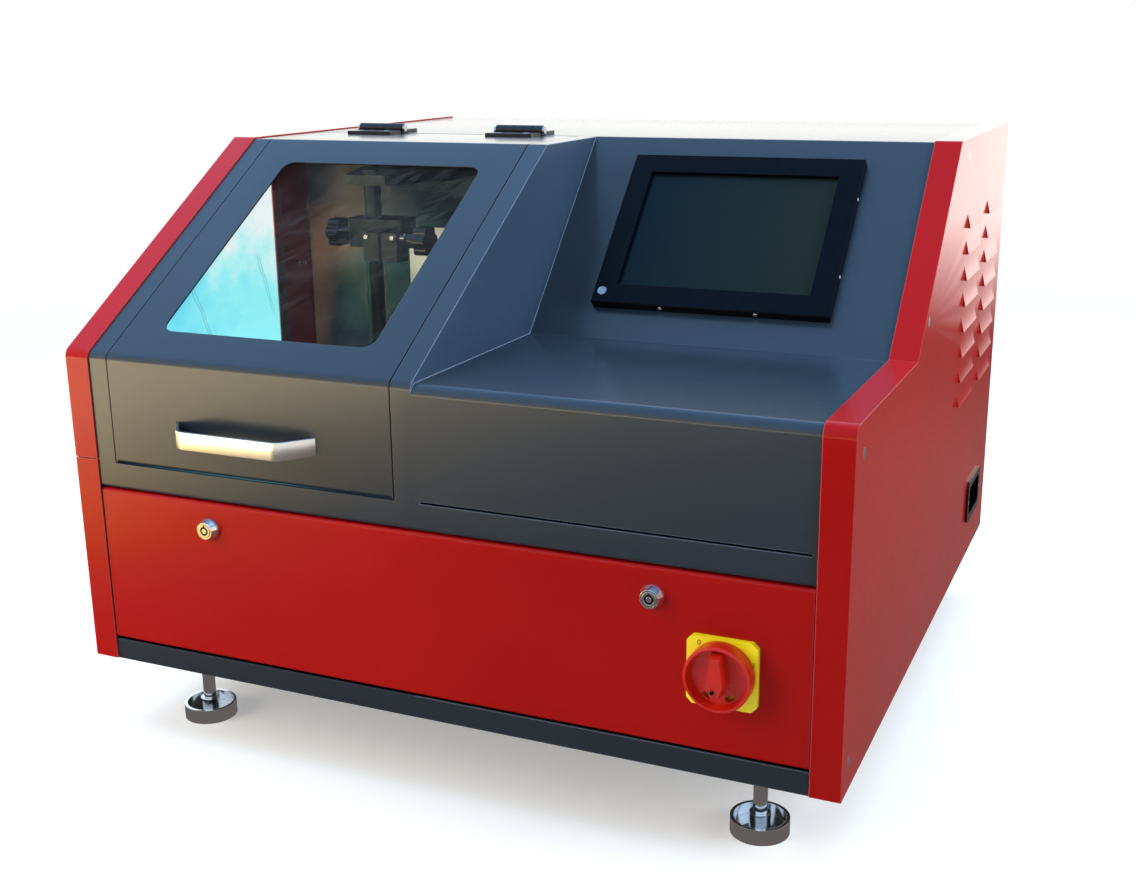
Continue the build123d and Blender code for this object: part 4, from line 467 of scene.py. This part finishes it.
def screw_head(name, kind, recess=0.55, dome=0.3, skirt=0.0, sides=28):
    """A screw head of radius 1 with a driver's recess, standing on its seat at z 0."""
    below_seat, recess_depth, recess_taper = -0.1, 0.45, 0.9
    profile = ((1, below_seat), (1, skirt), (0.93, skirt + 0.6 * dome), (0.78, skirt + dome))
    form = bmesh.new()
    rings = []
    for radius, height in profile:
        ring = []
        for side in range(sides):
            angle = 2 * math.pi * side / sides
            ring.append(form.verts.new((radius * math.cos(angle), radius * math.sin(angle), height)))
        rings.append(ring)
    for lower, upper in zip(rings, rings[1:]):
        for side in range(sides):
            after = (side + 1) % sides
            form.faces.new((lower[side], lower[after], upper[after], upper[side]))
    form.faces.new(list(reversed(rings[0])))
    top = skirt + dome
    outline = recess_outline(kind, recess)
    mouth = [form.verts.new((p.x, p.y, top)) for p in outline]
    floor = [
        form.verts.new((recess_taper * p.x, recess_taper * p.y, top - recess_depth)) for p in outline
    ]
    count = len(outline)
    rim = [form.edges.get((rings[-1][side], rings[-1][(side + 1) % sides])) for side in range(sides)]
    lip = [form.edges.new((mouth[i], mouth[(i + 1) % count])) for i in range(count)]
    bmesh.ops.triangle_fill(form, edges=rim + lip, use_beauty=True)
    for i in range(count):
        after = (i + 1) % count
        form.faces.new((mouth[i], mouth[after], floor[after], floor[i]))
    form.faces.new(floor)
    bmesh.ops.recalc_face_normals(form, faces=form.faces)
    mesh = bpy.data.meshes.new(name)
    form.to_mesh(mesh)
    form.free()
    return bpy.data.objects.new(name, mesh)


def fastener_tree():
    """Puts one head on each point, turned to its facing, each at its own turn."""
    tree = new_tree("set_fasteners")
    ids = {
        "Head": tree_input(tree, "Head", "NodeSocketObject"),
        "Head Radius": tree_input(tree, "Head Radius", "NodeSocketFloat", 4 * MM),
        "Turn Seed": tree_input(tree, "Turn Seed", "NodeSocketInt", 7),
        "Finish": tree_input(tree, "Finish", "NodeSocketMaterial"),
    }
    source = tree.nodes.new("NodeGroupInput")
    result = tree.nodes.new("NodeGroupOutput")
    points = tree.nodes.new("GeometryNodeMeshToPoints")
    head = tree.nodes.new("GeometryNodeObjectInfo")
    facing = tree.nodes.new("GeometryNodeInputNamedAttribute")
    facing.data_type = "FLOAT_VECTOR"
    facing.inputs["Name"].default_value = "facing"
    aim = tree.nodes.new("FunctionNodeAlignRotationToVector")
    aim.axis = "Z"
    chance = tree.nodes.new("FunctionNodeRandomValue")
    chance.data_type = "FLOAT"
    most, drawn = chance.inputs[3], chance.outputs[1]
    most.default_value = 2 * math.pi
    spin = tree.nodes.new("FunctionNodeAxisAngleToRotation")
    spin.inputs["Axis"].default_value = (0, 0, 1)
    turn = tree.nodes.new("FunctionNodeRotateRotation")
    turn.rotation_space = "LOCAL"
    setting = tree.nodes.new("GeometryNodeInstanceOnPoints")
    real = tree.nodes.new("GeometryNodeRealizeInstances")
    coat = tree.nodes.new("GeometryNodeSetMaterial")
    link = tree.links.new
    link(source.outputs["Geometry"], points.inputs["Mesh"])
    link(source.outputs["Head"], head.inputs["Object"])
    link(facing.outputs["Attribute"], aim.inputs["Vector"])
    link(source.outputs["Turn Seed"], chance.inputs["Seed"])
    link(drawn, spin.inputs["Angle"])
    link(aim.outputs["Rotation"], turn.inputs["Rotation"])
    link(spin.outputs["Rotation"], turn.inputs["Rotate By"])
    link(points.outputs["Points"], setting.inputs["Points"])
    link(head.outputs["Geometry"], setting.inputs["Instance"])
    link(turn.outputs["Rotation"], setting.inputs["Rotation"])
    link(source.outputs["Head Radius"], setting.inputs["Scale"])
    link(setting.outputs["Instances"], real.inputs["Geometry"])
    link(real.outputs["Geometry"], coat.inputs["Geometry"])
    link(source.outputs["Finish"], coat.inputs["Material"])
    link(coat.outputs["Geometry"], result.inputs["Geometry"])
    return tree, ids


set_fasteners, fastener_ids = fastener_tree()
cross_head = screw_head("cross_head", "cross")
flat_cross_head = screw_head("flat_cross_head", "cross", dome=0.06)
socket_head = screw_head("socket_head", "hex", recess=0.5, dome=0.15, skirt=0.9)
button_head = screw_head("button_head", "hex", recess=0.45, dome=0.5)


def put_on(piece, body):
    """Links a finished piece to its body and its finish."""
    if piece.name not in bpy.context.scene.collection.objects:
        bpy.context.scene.collection.objects.link(piece)
    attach(piece, body)
    return piece


def fasteners(name, head, radius, places, body, slot, seed=7):
    """A set of equal heads at (point, facing) places, as one plain mesh."""
    mesh = bpy.data.meshes.new(name)
    mesh.from_pydata([tuple(point) for point, _ in places], [], [])
    facing = mesh.attributes.new("facing", "FLOAT_VECTOR", "POINT")
    for item, (_, direction) in zip(facing.data, places):
        item.vector = direction
    host = bpy.data.objects.new(name + "_places", mesh)
    bpy.context.scene.collection.objects.link(host)
    setter = host.modifiers.new("set_fasteners", "NODES")
    setter.node_group = set_fasteners
    setter[fastener_ids["Head"]] = head
    setter[fastener_ids["Head Radius"]] = radius
    setter[fastener_ids["Turn Seed"]] = seed
    setter[fastener_ids["Finish"]] = finishes[slot]
    bpy.context.view_layer.update()
    ready = host.evaluated_get(bpy.context.evaluated_depsgraph_get())
    finished = bpy.data.meshes.new_from_object(ready)
    bpy.data.objects.remove(host)
    return put_on(bpy.data.objects.new(name, finished), body)


def solid_boxes(node):
    """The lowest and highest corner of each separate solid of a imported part."""
    form = bmesh.new()
    form.from_mesh(nodes[node].data)
    bmesh.ops.remove_doubles(form, verts=form.verts, dist=0.001 * MM)
    seen = set()
    boxes = []
    for seed_vert in form.verts:
        if seed_vert in seen:
            continue
        group, waiting = [], [seed_vert]
        seen.add(seed_vert)
        while waiting:
            vert = waiting.pop()
            group.append(vert.co.copy())
            for edge in vert.link_edges:
                other = edge.other_vert(vert)
                if other not in seen:
                    seen.add(other)
                    waiting.append(other)
        low = Vector([min(point[axis] for point in group) for axis in range(3)])
        high = Vector([max(point[axis] for point in group) for axis in range(3)])
        boxes.append((low, high))
    form.free()
    return sorted(boxes, key=lambda pair: tuple(round(value, 4) for value in pair[0]))


def middle(box):
    """The middle of a box."""
    return (box[0] + box[1]) / 2


def each(places, facing):
    """The same facing for every place."""
    return [(Vector(place), facing) for place in places]


# Countersunk screws of the side covers, flush with the paint

side_head_sunk = 0.3 * MM
side_places = []
for screw_low, screw_high in solid_boxes("cover_screws"):
    centre = middle((screw_low, screw_high))
    outwards = 1 if centre.x > 0 else -1
    outer_x = screw_high.x if outwards > 0 else screw_low.x
    side_head_radius = (screw_high.y - screw_low.y) / 2
    seat = Vector((outer_x - side_head_sunk * outwards, centre.y, centre.z))
    side_places.append((seat, (outwards, 0, 0)))
fasteners("side_cover_screw_heads", flat_cross_head, side_head_radius, side_places, "case", "clamp_metal")


# The screen's bezel: small screws round its edge and a plain turned badge

slope_foot = Vector((0, -114.5, 370)) * MM
up_slope = Vector((0, math.cos(slope_angle), math.sin(slope_angle)))
off_slope = Vector((0, -math.sin(slope_angle), math.cos(slope_angle)))
bezel_low, bezel_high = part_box("monitor_bezel")
bezel_start, bezel_height, bezel_rise = 34.5 * MM, 175 * MM, 9.5 * MM
bezel_screw_radius = 2.1 * MM
long_side_shares, short_side_shares = (0.30, 0.70), (0.26, 0.75)


def on_bezel(across, up, rise):
    """A point by its distance from the bezel's left and lower edges, and off the panel."""
    corner = Vector((bezel_low.x + across, 0, 0)) + slope_foot
    return corner + up_slope * (bezel_start + up) + off_slope * rise


bezel_width = bezel_high.x - bezel_low.x
bezel_screws = []
for share in long_side_shares:
    bezel_screws += each([on_bezel(share * bezel_width, 0, bezel_rise / 2)], tuple(-up_slope))
    bezel_screws += each([on_bezel(share * bezel_width, bezel_height, bezel_rise / 2)], tuple(up_slope))
for share in short_side_shares:
    bezel_screws += each([on_bezel(bezel_width, share * bezel_height, bezel_rise / 2)], (1, 0, 0))
    bezel_screws += each([on_bezel(0, share * bezel_height, bezel_rise / 2)], (-1, 0, 0))
fasteners("bezel_screws", cross_head, bezel_screw_radius, bezel_screws, "case", "polished_steel")


def turned_piece(name, outline, origin, axis, body, slot, sides=40):
    """A closed outline of (radius, height) points turned about an axis."""
    form = bmesh.new()
    tilt = Vector((0, 0, 1)).rotation_difference(Vector(axis)).to_matrix()
    rings = []
    for radius, height in outline:
        ring = []
        for side in range(sides):
            angle = 2 * math.pi * side / sides
            point = Vector((radius * math.cos(angle), radius * math.sin(angle), height))
            ring.append(form.verts.new(Vector(origin) + tilt @ point))
        rings.append(ring)
    for ring, after in zip(rings, rings[1:] + rings[:1]):
        for side in range(sides):
            beyond = (side + 1) % sides
            form.faces.new((ring[side], ring[beyond], after[beyond], after[side]))
    bmesh.ops.remove_doubles(form, verts=form.verts, dist=0.001 * MM)
    bmesh.ops.recalc_face_normals(form, faces=form.faces)
    for face in form.faces:
        face.smooth = True
    mesh = bpy.data.meshes.new(name)
    form.to_mesh(mesh)
    form.free()
    mesh.materials.append(finishes[slot])
    piece = bpy.data.objects.new(name, mesh)
    shading = piece.modifiers.new("smooth_folds", "NODES")
    shading.node_group = smooth_folds
    return put_on(piece, body)


badge_outline = [(0, -0.3), (4.6, -0.3), (4.6, 0.7), (4.1, 1.0), (3.6, 1.0), (3.3, 0.7), (0, 0.7)]
badge_across, badge_up = 8.5 * MM, 12.5 * MM
turned_piece(
    "plain_badge",
    [(radius * MM, height * MM) for radius, height in badge_outline],
    on_bezel(badge_across, badge_up, bezel_rise),
    off_slope, "case", "steel",
)


# The injector clamp: a screw on the front of each jaw and steel washers under the knobs

turning_axes = {joint["name"]: joint.get("pos_m") for joint in frame["record"]["behaviour"]["joints"]}
jaw_low, jaw_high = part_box("moving_jaw")
carriage_low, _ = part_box("clamp_carriage")
jaw_pitch = 20.5 * MM
jaw_screw_inset, jaw_screw_radius = 4.2 * MM, 2.4 * MM
fixed_jaw_left = jaw_low.x - jaw_pitch
jaw_screw_z = jaw_high.z - jaw_screw_inset
for name, body, x in (
    ("fixed_jaw_screw", "clamp_carriage", fixed_jaw_left + jaw_screw_inset),
    ("moving_jaw_screw", "moving_jaw", jaw_high.x - jaw_screw_inset),
):
    jaw_screw_place = each([(x, jaw_low.y, jaw_screw_z)], (0, -1, 0))
    fasteners(name, socket_head, jaw_screw_radius, jaw_screw_place, body, "steel")

washer_radius, washer_bore, washer_thick = 7.6 * MM, 6.9 * MM, 2.2 * MM
washer_outline = [
    (washer_bore, 0), (washer_radius, 0), (washer_radius, washer_thick), (washer_bore, washer_thick)
]
washer_gap = 0.25 * MM
for knob, seat_x, outwards in (
    ("jaw_knob", jaw_high.x + washer_gap, 1), ("post_knob", carriage_low.x - washer_gap, -1)
):
    _, y, z = turning_axes[knob + "_turn"]
    turned_piece(
        knob + "_washer", washer_outline, (seat_x, y, z), (outwards, 0, 0), knob, "polished_steel"
    )


# Screws of the hinges, the access plate, the back panel, the fan and the power inlet

leaf_thick, leaf_screw_inset, leaf_screw_radius = 3.5 * MM, 11 * MM, 3.2 * MM
leaf_screw_shares = (0.2, 0.8)
for node, body, from_front in (
    ("hinge_door_leaves", "chamber_door", True), ("hinge_case_leaves", "case", False)
):
    spots = []
    for low, high in solid_boxes(node):
        y = low.y + leaf_screw_inset if from_front else high.y - leaf_screw_inset
        for share in leaf_screw_shares:
            spots.append((low.x + share * (high.x - low.x), y, low.z + leaf_thick))
    leaf_places = each(spots, (0, 0, 1))
    fasteners(node + "_screws", flat_cross_head, leaf_screw_radius, leaf_places, body, "zinc_steel")


def rows(first, last, shares):
    """Points along a line, by shares of its length."""
    return [tuple(a + (b - a) * share for a, b in zip(first, last)) for share in shares]


plate_low, plate_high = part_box("access_plate")
plate_inset, plate_screw_radius = 7 * MM, 2.6 * MM
plate_spots = []
for z in (plate_low.z + plate_inset, plate_high.z - plate_inset):
    ends = (plate_low.x + plate_inset, plate_low.y, z), (plate_high.x - plate_inset, plate_low.y, z)
    plate_spots += rows(*ends, (0, 1))
plate_places = each(plate_spots, (0, -1, 0))
fasteners("access_plate_screws", cross_head, plate_screw_radius, plate_places, "case", "zinc_steel")

panel_low, panel_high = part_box("back_panel")
panel_side_inset, panel_end_inset, panel_screw_radius = 45 * MM, 9 * MM, 3.4 * MM
panel_screw_shares = (0, 0.333, 0.667, 1)
panel_spots = []
for z in (panel_low.z + panel_end_inset, panel_high.z - panel_end_inset):
    first = (panel_low.x + panel_side_inset, panel_high.y, z)
    last = (panel_high.x - panel_side_inset, panel_high.y, z)
    panel_spots += rows(first, last, panel_screw_shares)
panel_places = each(panel_spots, (0, 1, 0))
fasteners("back_panel_screws", cross_head, panel_screw_radius, panel_places, "case", "zinc_steel")

fan_centre = middle(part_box("fan_frame"))
fan_screw_offset, fan_screw_radius, guard_bar = 49.5 * MM, 3.6 * MM, 2.5 * MM
fan_screw_y = panel_high.y + guard_bar
fan_spots = [
    (fan_centre.x + fan_screw_offset * side, fan_screw_y, fan_centre.z + fan_screw_offset * end)
    for side in (-1, 1) for end in (-1, 1)
]
fasteners("fan_screws", button_head, fan_screw_radius, each(fan_spots, (0, 1, 0)), "case", "zinc_steel")

inlet_low, inlet_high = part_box("power_inlet")
inlet_screw_inset, inlet_screw_radius = 3.6 * MM, 2.2 * MM
inlet_z = middle((inlet_low, inlet_high)).z
inlet_spots = [
    (inlet_high.x, y, inlet_z) for y in (inlet_low.y + inlet_screw_inset, inlet_high.y - inlet_screw_inset)
]
inlet_places = each(inlet_spots, (1, 0, 0))
fasteners("power_inlet_screws", flat_cross_head, inlet_screw_radius, inlet_places, "case", "zinc_steel")


# The door's handle: one strap of flat bar with rounded bends, its ends square to the door

handle_low, handle_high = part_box("door_handle")
strap_thick = 3 * MM
strap_lean = 20 * MM
strap_bend = 13 * MM
strap_end_inset = 3 * MM
strap_edge = 0.5 * MM


def bent_line(corners, radius, steps=10):
    """A line through the corners, with an arc of the given radius at each inner one."""
    line = [corners[0]]
    for before, corner, after in zip(corners, corners[1:], corners[2:]):
        back, onwards = (before - corner).normalized(), (after - corner).normalized()
        half = back.angle(onwards) / 2
        centre = corner + (back + onwards).normalized() * radius / math.sin(half)
        start = corner + back * radius / math.tan(half) - centre
        end = corner + onwards * radius / math.tan(half) - centre
        for step in range(steps + 1):
            line.append(centre + start.normalized().slerp(end.normalized(), step / steps) * radius)
    return line + [corners[-1]]


def strap_handle():
    """The bow as a bar of one thickness, its long edges eased by a bevel."""
    door_y, reach_y = handle_high.y, handle_low.y + strap_thick / 2
    left, right = handle_low.x + strap_end_inset, handle_high.x - strap_end_inset
    corners = [
        Vector((left, door_y, 0)), Vector((left + strap_lean, reach_y, 0)),
        Vector((right - strap_lean, reach_y, 0)), Vector((right, door_y, 0)),
    ]
    line = bent_line(corners, strap_bend)
    form = bmesh.new()
    sections = []
    for spot, point in enumerate(line):
        before, after = line[max(spot - 1, 0)], line[min(spot + 1, len(line) - 1)]
        across = (after - before).normalized().cross(Vector((0, 0, 1))) * strap_thick / 2
        if spot in (0, len(line) - 1):
            across = Vector((math.copysign(across.length / abs(across.normalized().x), across.x), 0, 0))
        spots = [(point + across, handle_low.z), (point + across, handle_high.z),
                 (point - across, handle_high.z), (point - across, handle_low.z)]
        sections.append([form.verts.new((p.x, p.y, z)) for p, z in spots])
    for section, beyond in zip(sections, sections[1:]):
        for corner in range(4):
            other = (corner + 1) % 4
            form.faces.new((section[corner], section[other], beyond[other], beyond[corner]))
    form.faces.new(list(reversed(sections[0])))
    form.faces.new(sections[-1])
    bmesh.ops.recalc_face_normals(form, faces=form.faces)
    mesh = bpy.data.meshes.new("door_handle_strap")
    form.to_mesh(mesh)
    form.free()
    mesh.materials.append(finishes["satin_aluminium"])
    handle = bpy.data.objects.new("door_handle_strap", mesh)
    easing = handle.modifiers.new("eased_edges", "BEVEL")
    easing.width = strap_edge
    easing.segments = 2
    easing.angle_limit = math.radians(40)
    shading = handle.modifiers.new("smooth_folds", "NODES")
    shading.node_group = smooth_folds
    put_on(handle, "chamber_door")
    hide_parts("door_handle")


strap_handle()


# The locks' keyways: a black sleeve in each round slot, painted shade inside the groove

key_outer, key_inner, key_depth, key_set_back = 4.0 * MM, 2.5 * MM, 1.0 * MM, 0.25 * MM
for side in ("left", "right"):
    x, _, z = turning_axes[side + "_lock_turn"]
    plug_face = (x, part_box(side + "_lock_cylinder")[0].y + key_set_back, z)
    sleeve = [(key_inner, 0), (key_outer, 0), (key_outer, -key_depth), (key_inner, -key_depth)]
    turned_piece(side + "_keyway", sleeve, plug_face, (0, -1, 0), side + "_lock", "black_plastic")


# The main switch: plain numbers on its plate and a screw low on the grip

plate_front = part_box("switch_plate")[0].y
switch_centre = middle(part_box("switch_plate"))
print_half_thick, print_lift = 0.04 * MM, 0.02 * MM


def plate_number(text, height, offset):
    """A plain number printed on the switch's yellow plate."""
    curve = bpy.data.curves.new("switch_number_" + text, "FONT")
    curve.body = text
    curve.size = height
    curve.align_x = "CENTER"
    curve.align_y = "CENTER"
    curve.extrude = print_half_thick
    host = bpy.data.objects.new("number_host", curve)
    bpy.context.scene.collection.objects.link(host)
    bpy.context.view_layer.update()
    mesh = bpy.data.meshes.new_from_object(host.evaluated_get(bpy.context.evaluated_depsgraph_get()))
    bpy.data.objects.remove(host)
    place = Vector((switch_centre.x + offset[0], plate_front - print_lift, switch_centre.z + offset[1]))
    mesh.transform(Matrix.Translation(place) @ Matrix.Rotation(math.pi / 2, 4, "X"))
    mesh.materials.clear()
    mesh.materials.append(finishes["black_plastic"])
    put_on(bpy.data.objects.new("switch_number_" + text, mesh), "lower_panel")


number_height = 6 * MM
number_offsets = {"0": (-18.5 * MM, 23.0 * MM), "1": (25.4 * MM, 11 * MM)}
for number, offset in number_offsets.items():
    plate_number(number, number_height, offset)

grip_screw_left, grip_screw_drop, grip_screw_radius = 1.2 * MM, 7.5 * MM, 1.7 * MM
grip_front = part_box("switch_handle")[0].y
grip_spot = (switch_centre.x - grip_screw_left, grip_front, switch_centre.z - grip_screw_drop)
grip_place = each([grip_spot], (0, -1, 0))
fasteners("grip_screw", socket_head, grip_screw_radius, grip_place, "main_switch", "black_plastic")


# The camera stands where the photograph was taken from

photo_width = 1136
focal_pixels = 1423.96
sensor_width = 36
camera_place = Vector((566.09, -1306.49, 635.21)) * MM
camera_yaw = -0.42005
camera_pitch = -0.27334
camera_roll = -0.01111


def aim_camera():
    """A camera from its place, its yaw, pitch and roll, and its focal length."""
    eye = bpy.data.cameras.new("photo_camera")
    eye.sensor_width = sensor_width
    eye.lens = focal_pixels / photo_width * sensor_width
    eye.clip_start = 0.05
    camera = bpy.data.objects.new("photo_camera", eye)
    flat = math.cos(camera_pitch)
    ahead = Vector((math.sin(camera_yaw) * flat, math.cos(camera_yaw) * flat, math.sin(camera_pitch)))
    level = Vector((math.cos(camera_yaw), -math.sin(camera_yaw), 0))
    upright = level.cross(ahead)
    across = level * math.cos(camera_roll) + upright * math.sin(camera_roll)
    upwards = upright * math.cos(camera_roll) - level * math.sin(camera_roll)
    turn = Matrix((across, upwards, -ahead)).transposed().to_4x4()
    camera.matrix_world = Matrix.Translation(camera_place) @ turn
    bpy.context.scene.collection.objects.link(camera)
    bpy.context.scene.camera = camera


aim_camera()


# A pale floor and soft lamps

def soft_lamp(name, place, target, size, power, colour):
    """A large square lamp that looks at a point; its size is in metres, its power in watts."""
    lamp = bpy.data.lights.new(name, "AREA")
    lamp.size = size
    lamp.energy = power
    lamp.color = colour
    holder = bpy.data.objects.new(name, lamp)
    holder.location = place
    holder.rotation_euler = (Vector(target) - Vector(place)).to_track_quat("-Z", "Y").to_euler()
    bpy.context.scene.collection.objects.link(holder)
    return holder


def ray_shares(tree):
    """Shares of rays: those that look past the bench, the mirrored ones and the camera's."""
    light_path = tree.nodes.new("ShaderNodeLightPath")
    camera = light_path.outputs["Is Camera Ray"]
    seen = sums(tree, "MAXIMUM", camera, light_path.outputs["Is Transmission Ray"])
    return seen, light_path.outputs["Is Glossy Ray"], camera


def mixed(tree, share, first, second):
    """Two shaders mixed by a share."""
    mix = tree.nodes.new("ShaderNodeMixShader")
    tree.links.new(share, mix.inputs["Fac"])
    tree.links.new(first, mix.inputs[1])
    tree.links.new(second, mix.inputs[2])
    return mix.outputs["Shader"]


def mirrored_ground(tree, place):
    """The ground as the paint mirrors it: sunlit at the front left, dark close by, white far off."""
    sun_front, sun_side, sun_falloff = (-0.8, -0.5), (-1.3, -0.2), 2.3
    gold_ends, gold, straw = (-1.15, -0.85), (1.0, 0.64, 0.16), (1.0, 0.80, 0.46)
    straw_glow, gold_glow = 5.2, 11
    close_glow, close_ends = 0.10, (1.0, 2.0)
    far_glows, far_ends = (0.05, 1.9), (2.0, 4.2)
    axes = tree.nodes.new("ShaderNodeSeparateXYZ")
    tree.links.new(place, axes.inputs["Vector"])
    reach = tree.nodes.new("ShaderNodeVectorMath")
    reach.operation = "LENGTH"
    tree.links.new(place, reach.inputs[0])
    front = spread(tree, axes.outputs["Y"], 1, 0, *sun_front)
    left = sums(tree, "POWER", spread(tree, axes.outputs["X"], 1, 0, *sun_side), sun_falloff)
    sunlit = sums(tree, "MULTIPLY", front, left)
    nearby = spread(tree, axes.outputs["Y"], 0, 1, *gold_ends)
    warm = blended(tree, nearby, straw, gold)
    glow = sums(tree, "MULTIPLY", sunlit, spread(tree, nearby, straw_glow, gold_glow, 0, 1))
    far = spread(tree, reach.outputs["Value"], *far_glows, *far_ends)
    close = spread(tree, reach.outputs["Value"], close_glow, 0, *close_ends)
    plain = sums(tree, "ADD", far, close)
    ground = tree.nodes.new("ShaderNodeEmission")
    colour = blended(tree, spread(tree, sunlit, 0, 1, 0, 0.1), (1, 0.90, 0.86), warm)
    tree.links.new(colour, ground.inputs["Color"])
    tree.links.new(sums(tree, "ADD", glow, plain), ground.inputs["Strength"])
    return ground.outputs["Emission"], reach.outputs["Value"]


def pale_floor():
    """A pale floor that keeps the bench's shadow and turns white further out."""
    camera_lift, white_ends, side = 0.34, (0.9, 2.6), 14
    finish, tree, shader, place = new_finish("floor_white")
    shader.inputs["Base Color"].default_value = (0.80, 0.80, 0.80, 1)
    shader.inputs["Roughness"].default_value = 0.9
    shader.inputs["Specular IOR Level"].default_value = 0.1
    seen, glossy, camera = ray_shares(tree)
    shader.inputs["Emission Color"].default_value = (1, 1, 1, 1)
    tree.links.new(sums(tree, "MULTIPLY", camera, camera_lift), shader.inputs["Emission Strength"])
    ground, reach = mirrored_ground(tree, place)
    white = tree.nodes.new("ShaderNodeEmission")
    far = sums(tree, "MULTIPLY", spread(tree, reach, 0, 1, *white_ends), seen)
    plain = mixed(tree, far, shader.outputs["BSDF"], white.outputs["Emission"])
    result = next(node for node in tree.nodes if node.type == "OUTPUT_MATERIAL")
    tree.links.new(mixed(tree, glossy, plain, ground), result.inputs["Surface"])
    finish.cycles.emission_sampling = "NONE"
    mesh = bpy.data.meshes.new("floor")
    corners = [(-side, -side, 0), (side, -side, 0), (side, side, 0), (-side, side, 0)]
    mesh.from_pydata(corners, [], [(0, 1, 2, 3)])
    mesh.materials.append(finish)
    floor = bpy.data.objects.new("floor", mesh)
    bpy.context.scene.collection.objects.link(floor)


def daylight(strength):
    """Even daylight, white past the bench; in mirrored rays a blue sky over a bright horizon."""
    blue, blue_glow, blue_ends = (0.30, 0.58, 1.0), 1.45, (0.30, 0.62)
    white, horizon_glows, horizon_ends = (1.0, 0.99, 0.93), (0.9, 1.6), (-0.2, 0.5)
    world = bpy.data.worlds.new("daylight")
    bpy.context.scene.world = world
    world.cycles.sampling_method = "NONE"
    world.use_nodes = True
    tree = world.node_tree
    tree.nodes.clear()
    result = tree.nodes.new("ShaderNodeOutputWorld")
    place = tree.nodes.new("ShaderNodeTexCoord").outputs["Generated"]
    axes = tree.nodes.new("ShaderNodeSeparateXYZ")
    tree.links.new(place, axes.inputs["Vector"])
    seen, glossy, _ = ray_shares(tree)
    plain = tree.nodes.new("ShaderNodeBackground")
    plain.inputs["Color"].default_value = (1, 1, 1, 1)
    tree.links.new(spread(tree, seen, strength, 1, 0, 1), plain.inputs["Strength"])
    high = spread(tree, axes.outputs["Z"], 0, 1, *blue_ends)
    horizon = spread(tree, axes.outputs["Y"], *horizon_glows, *horizon_ends)
    mirrored = tree.nodes.new("ShaderNodeBackground")
    tree.links.new(blended(tree, high, white, blue), mirrored.inputs["Color"])
    glow = tree.nodes.new("ShaderNodeMix")
    glow.data_type = "FLOAT"
    low_glow, high_glow, mixed_glow = glow.inputs[2], glow.inputs[3], glow.outputs[0]
    high_glow.default_value = blue_glow
    tree.links.new(high, glow.inputs["Factor"])
    tree.links.new(horizon, low_glow)
    tree.links.new(mixed_glow, mirrored.inputs["Strength"])
    shown = mixed(tree, glossy, plain.outputs["Background"], mirrored.outputs["Background"])
    tree.links.new(shown, result.inputs["Surface"])


bpy.context.scene.view_settings.view_transform = "Standard"
pale_floor()
daylight(strength=0.23)
warm_white, chamber_white, cool_white = (1, 0.90, 0.76), (1, 0.88, 0.74), (0.86, 0.92, 1)
pale_blue, sky_blue = (0.60, 0.80, 1), (0.55, 0.78, 1)
case_lamps = (
    soft_lamp("warm_front_lamp", (-1.2, -1.45, 0.95), (-0.15, -0.3, 0.25), 1.2, 24, warm_white),
    soft_lamp("sky_lamp", (-1.6, -0.7, 2.65), (-0.1, 0, 0.4), 1.9, 58, pale_blue),
    soft_lamp("side_lamp", (2.5, 0.2, 1.6), (0.1, 0, 0.35), 1.8, 72, cool_white),
    soft_lamp("rear_sky_lamp", (0.4, 1.4, 2.3), (0.1, -0.1, 0.35), 1.6, 50, sky_blue),
)
bay_wall_lamp = soft_lamp("bay_wall_lamp", (1.9, -0.35, 0.62), (0, -0.2, 0.42), 0.9, 130, sky_blue)
for lamp in (*case_lamps, bay_wall_lamp):
    lamp.visible_glossy = False
chamber_lamp = soft_lamp("chamber_lamp", (0.7, -1.5, 1.3), (-0.2, 0, 0.4), 0.6, 50, chamber_white)


def light_only(lamp, names):
    """Keeps a lamp's light to the named pieces."""
    lit = bpy.data.collections.new(lamp.name + "_lights")
    for name in names:
        lit.objects.link(bpy.data.objects[name])
    lamp.light_linking.receiver_collection = lit


light_only(bay_wall_lamp, ["console_cover"])
light_only(chamber_lamp, [
    "chamber_back_wall", "chamber_tray", "access_plate", "access_plate_screws",
    "clamp_post", "post_bracket", "clamp_carriage", "moving_jaw", "fixed_jaw_screw", "moving_jaw_screw",
    "jaw_knob", "post_knob", "jaw_knob_washer", "post_knob_washer",
])
